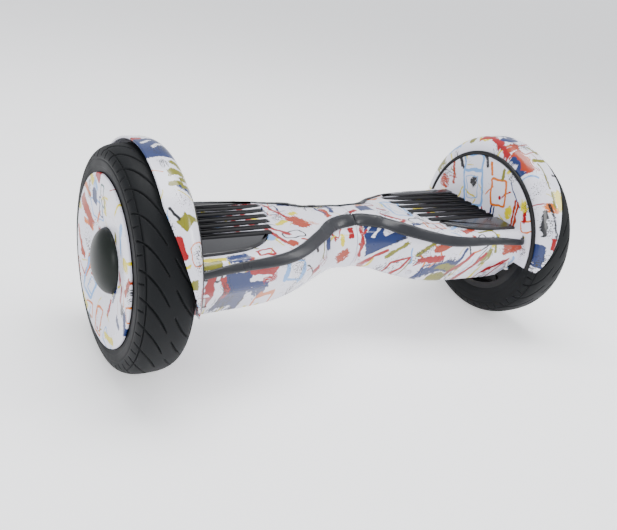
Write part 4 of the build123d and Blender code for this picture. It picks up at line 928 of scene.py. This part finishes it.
def round_tyre(side, off, radius):
    """Points round the wheel at a way off its middle and a radius, either of which may change on the way."""
    x = side * (WHEEL_X + off + np.zeros_like(turns))
    return np.stack([x, radius * np.sin(turns), AXLE_Z + radius * np.cos(turns)], axis=1).tolist()


section = tyre_section()
outside = [(-w, r, -s) for w, r, s in section[:0:-1]] + section
turns = np.linspace(0, math.tau, TURNS, endpoint=False)
hollow = HOLLOW + tuple((-w, r) for w, r in HOLLOW[-2::-1])
inside = ((0.0237, BEAD_R), (0.0150, BEAD_R), *hollow, (-0.0150, BEAD_R), (-0.0237, BEAD_R))
for side, word in ((-1, "left"), (1, "right")):
    rows = []
    for number, (w, r, way) in enumerate(outside):
        w_next, r_next, _ = outside[min(number + 1, len(outside) - 1)]
        w_last, r_last, _ = outside[max(number - 1, 0)]
        run = Vector((w_next - w_last, r_next - r_last)).normalized()
        depth = tread_depth(turns, way)
        rows.append(round_tyre(side, w + depth * run.y, r - depth * run.x))
    rows += [round_tyre(side, w, r) for w, r in inside]
    points, faces = strip_of_rings(rows, True, True)
    tyre = finished("tyre_" + word + "_moulded", points, faces, tyre_rubber, 60)
    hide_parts("tyre_" + word)
    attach(tyre, word + "_wheel")


# ---- hub covers ------------------------------------------------------------------------------
# A dished ABS disc with the printed film covers the motor on the outside. Its edge is rolled, and
# it is glued to the rotor and turns with the wheel.

COVER_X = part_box("hub_cover_right")[1].x
LEFT_COVER_MARKS = (
    (RED, 23, 91, 9, 7, 20, 6, 0, 5, 0.08),
    (TEAL, 9, 72, 5, 14, 14, 4, 2.2, 1.5, 0.1),
    (ROYAL, 36, 62, 5, 11, 14, 4, 0, 4, 0.15),
    (ROYAL, 21, 55, 5, 12, 14, 4, 2.2, 1.6, 0.1),
    (YELLOW, 45, 80, 8, 5, 20, 3, 0, 8, 0.3),
    (BLACK, 53, 64, 5, 12, 10, 3, 0, 9, 0.5),
    (RUST, 64, 34, 20, 8, 47, 4, 0, 9, 0.12),
    (YELLOW, 88, 32, 6, 5, 0, 5, 0, 5, 0.25),
    (RUST, 84, -6, 15, 3, 55, 2, 0, 4, 0.15),
    (RUST, 72, -21, 7, 5, 20, 4, 0, 5, 0.15),
    (SKY, 45, -42, 14, 21, 12, 4, 4, 1.6, 0.15),
    (SKY, 40, -50, 8, 9, 12, 3, 1.8, 1.6, 0.3),
    (RUST, 83, -46, 4, 12, -30, 3, 0, 5, 0.2),
    (TEAL, 36, -86, 8, 1.5, 12, 1, 0, 1.2, 0.1),
    (TEAL, 35, -91, 8, 1.5, 12, 1, 0, 1.2, 0.1),
    (ORANGE, 4, -76, 9, 15, -8, 3, 3, 1.5, 0.08),
    (RED, 3, -85, 2.2, 2.2, 0, 2.2, 0, 1, 0),
    (RED, -20, -48, 3, 10, 0, 2, 0, 4, 0.2),
    (ROYAL, -30, -26, 4, 13, 12, 3, 0, 7, 0.36),
    (RED, -47, 3, 8, 5, 20, 4, 0, 6, 0.2),
    (RED, -62, -10, 4, 11, 14, 2, 0, 4, 0.15),
    (OLIVE, -27, 38, 5, 8, 20, 3, 0, 6, 0.3),
    (SKY, -57, 50, 4, 19, 10, 3, 0, 4, 0.25),
    (ROYAL, -60, -42, 9, 4, 14, 2, 0, 6, 0.25),
)
RIGHT_COVER_MARKS = (
    (RED, 16, 76, 12, 6, 20, 5, 0, 6, 0.2),
    (SKY, -30, 58, 14, 18, 12, 4, 3.6, 1.5, 0.2),
    (RUST, -62, 14, 10, 16, 10, 4, 0, 11, 0.38),
    (ORANGE, 52, -30, 12, 16, -10, 3, 3, 1.5, 0.1),
    (ROYAL, 48, 40, 16, 9, 30, 2, 0, 6, 0.3),
    (OLIVE, -20, -66, 18, 3, -14, 2, 0, 5, 0.3),
    (TEAL, 12, -78, 10, 2, 10, 1, 0, 1.5, 0.1),
)


def turned(name, profile, side, count, material, sharp=35.0):
    """A piece turned about the axle from a closed profile of (x, radius) points. Radius 0 makes a pole."""
    rings = []
    for k in range(count):
        a = math.tau * k / count
        rings.append([(side * x, r * math.sin(a), AXLE_Z + r * math.cos(a)) for x, r in profile])
    return finished(name, *strip_of_rings(rings, True, True), material, sharp)


def rounded(corners, steps=5):
    """A closed outline from (x, radius, rounding) corners, with each corner rounded by its own amount."""
    outline = []
    count = len(corners)
    for i, (x, r, rounding) in enumerate(corners):
        here = Vector((x, r))
        if rounding <= 0:
            outline.append((x, r))
            continue
        back = (Vector(corners[i - 1][:2]) - here).normalized()
        on = (Vector(corners[(i + 1) % count][:2]) - here).normalized()
        for k in range(steps + 1):
            u = k / steps
            p = here + back * rounding * (1 - u) ** 2 + on * rounding * u**2
            outline.append((p.x, p.y))
    return outline


COVER_R = 0.0960
COVER_HOLE_R = 0.0370
cover_profile = rounded((
    (COVER_X - 0.0078, COVER_HOLE_R, 0), (COVER_X - 0.0030, 0.0640, 0.006), (COVER_X - 0.0002, 0.0800, 0.004),
    (COVER_X - 0.0004, COVER_R, 0.0016), (COVER_X - 0.0032, COVER_R, 0.0006), (COVER_X - 0.0032, 0.0790, 0),
    (COVER_X - 0.0102, COVER_HOLE_R, 0)))
for side, word, seed, marks in ((-1, "left", 101.0, LEFT_COVER_MARKS),
                                (1, "right", 131.0, RIGHT_COVER_MARKS)):
    cover = turned("hub_disc_" + word, cover_profile, side, 288,
                   printed_film("printed_film_hub_" + word, facing_wheel, seed, marks, 0.18, 0.04))
    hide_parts("hub_cover_" + word)
    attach(cover, word + "_wheel")


# ---- centre caps -----------------------------------------------------------------------------
# A domed satin-black cap clips into the middle of each hub cover.

cap_black = moulded("cap_black", (0.008, 0.011, 0.009), (0.015, 0.018, 0.016), 1600, 0.30, 0.40, 0.00003,
                    Specular_IOR_Level=0.14)
CAP_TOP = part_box("centre_cap_right")[1].x
CAP_RISE = 0.017
CAP_R = 0.0365
CAP_SKIRT = 0.0001                # how far the skirt stands past the dome's foot
CAP_WALL = 0.002
CAP_FOOT_X = CAP_TOP - CAP_RISE
dome = [(CAP_FOOT_X + CAP_RISE * math.sin(math.radians(a)), CAP_R * math.cos(math.radians(a)))
        for a in range(4, 90, 4)]
skirt = [(CAP_FOOT_X - CAP_WALL, 0.0340), (CAP_FOOT_X - CAP_WALL, CAP_R + CAP_SKIRT),
         (CAP_FOOT_X, CAP_R + CAP_SKIRT)]
inside = [(x - CAP_WALL, r * 0.93) for x, r in dome[::-1]]
cap_profile = skirt + dome + [(CAP_TOP, 0.0), (CAP_TOP - CAP_WALL, 0.0)] + inside
for side, word in ((-1, "left"), (1, "right")):
    cap = turned("cap_dome_" + word, cap_profile, side, 192, cap_black)
    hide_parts("centre_cap_" + word)
    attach(cap, word + "_wheel")


# ---- metal, boards, cables and the other carried-over pieces -----------------------------------
# What lies inside keeps its own shape: die-cast rims, lids and chassis, steel axles, screws and
# pivot, bronze bushes, the motor's iron, circuit boards, cables and the battery's wrap.

# name, colour, worn colour, grain scale, least and greatest roughness, grain depth, metallic
INNER_FINISHES = (
    ("cast_aluminium", (0.44, 0.44, 0.45), (0.56, 0.56, 0.57), 500, 0.38, 0.55, 0.00015, 1.0),
    ("steel", (0.36, 0.36, 0.37), (0.50, 0.50, 0.51), 900, 0.22, 0.38, 0.00004, 1.0),
    ("stator_iron", (0.20, 0.19, 0.18), (0.30, 0.28, 0.26), 800, 0.40, 0.60, 0.0001, 1.0),
    ("bronze", (0.50, 0.32, 0.15), (0.60, 0.42, 0.22), 900, 0.28, 0.42, 0.00005, 1.0),
    ("circuit_board", (0.010, 0.10, 0.045), (0.015, 0.14, 0.06), 1200, 0.30, 0.45, 0.00005, 0.0),
    ("cable_rubber", (0.012, 0.012, 0.012), (0.025, 0.025, 0.025), 1000, 0.45, 0.6, 0.00005, 0.0),
    ("battery_wrap", (0.02, 0.10, 0.32), (0.03, 0.14, 0.42), 300, 0.18, 0.3, 0.0001, 0.0),
)
finishes = {name: moulded(name, *look, Metallic=metallic) for name, *look, metallic in INNER_FINISHES}
finishes |= {"cap_plastic": cap_black, "black_trim": trim_black, "strip_plastic": strip_grey,
             "tyre_rubber": tyre_rubber, "pad_rubber": pad_rubber}
rim_black = moulded("rim_black", (0.010, 0.010, 0.011), (0.020, 0.020, 0.021), 700, 0.34, 0.5, 0.00008,
                    Specular_IOR_Level=0.15)
for node_name in ("wheel_rim_left", "wheel_rim_right", "motor_lid_left", "motor_lid_right"):
    refinish(node_name, rim_black)
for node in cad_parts.values():
    for number, held in enumerate(node.data.materials):
        if held and held.name.split(".")[0] in finishes:
            node.data.materials[number] = finishes[held.name.split(".")[0]]


# ---- studio ----------------------------------------------------------------------------------
# A pale sweep under soft boxes, seen from the front left and a little above.

paper = moulded("studio_paper", (0.92, 0.92, 0.93), (0.94, 0.94, 0.95), 60, 0.75, 0.85, 0.0001,
                Emission_Color=(1.0, 1.0, 1.0, 1.0), Emission_Strength=0.55)
SWEEP_HALF = 60
corners = [(x * SWEEP_HALF, y * SWEEP_HALF, 0) for x, y in ((-1, -1), (1, -1), (1, 1), (-1, 1))]
floor = finished("studio_floor", corners, [(0, 1, 2, 3)], paper)

world = bpy.data.worlds.new("studio_air")
world.use_nodes = True
air = world.node_tree.nodes["Background"].inputs
air["Color"].default_value = (0.93, 0.95, 1.0, 1)
air["Strength"].default_value = 0.85
bpy.context.scene.world = world


def soft_box(name, place, aim, width, height, power):
    lamp = bpy.data.lights.new(name, "AREA")
    lamp.shape = "RECTANGLE"
    lamp.size, lamp.size_y, lamp.energy = width, height, power
    made = bpy.data.objects.new(name, lamp)
    made.location = place
    made.rotation_euler = (Vector(aim) - Vector(place)).to_track_quat("-Z", "Y").to_euler()
    bpy.context.scene.collection.objects.link(made)


soft_box("overhead_box", (0.1, 0.2, 1.9), (0, 0, 0.1), 1.6, 0.9, 42)
soft_box("left_box", (-1.6, -1.3, 1.0), (0, 0, 0.12), 0.8, 1.0, 22)
soft_box("right_box", (1.7, -0.9, 1.1), (0, 0, 0.12), 0.5, 1.0, 16)

view = bpy.data.cameras.new("studio_camera")
view.sensor_width = 36
view.lens = 43.76
view.shift_x = -0.0303
view.shift_y = -0.0123
camera = bpy.data.objects.new("studio_camera", view)
right = Vector((0.8424, -0.5149, 0.1589))
up = Vector((0.0858, 0.4192, 0.9038))
ahead = Vector((0.5320, 0.7477, -0.3973))
turn = Matrix((right, up, -ahead)).transposed().to_4x4()
camera.matrix_world = Matrix.Translation((-0.5356, -0.7318, 0.4923)) @ turn
bpy.context.scene.collection.objects.link(camera)
bpy.context.scene.camera = camera
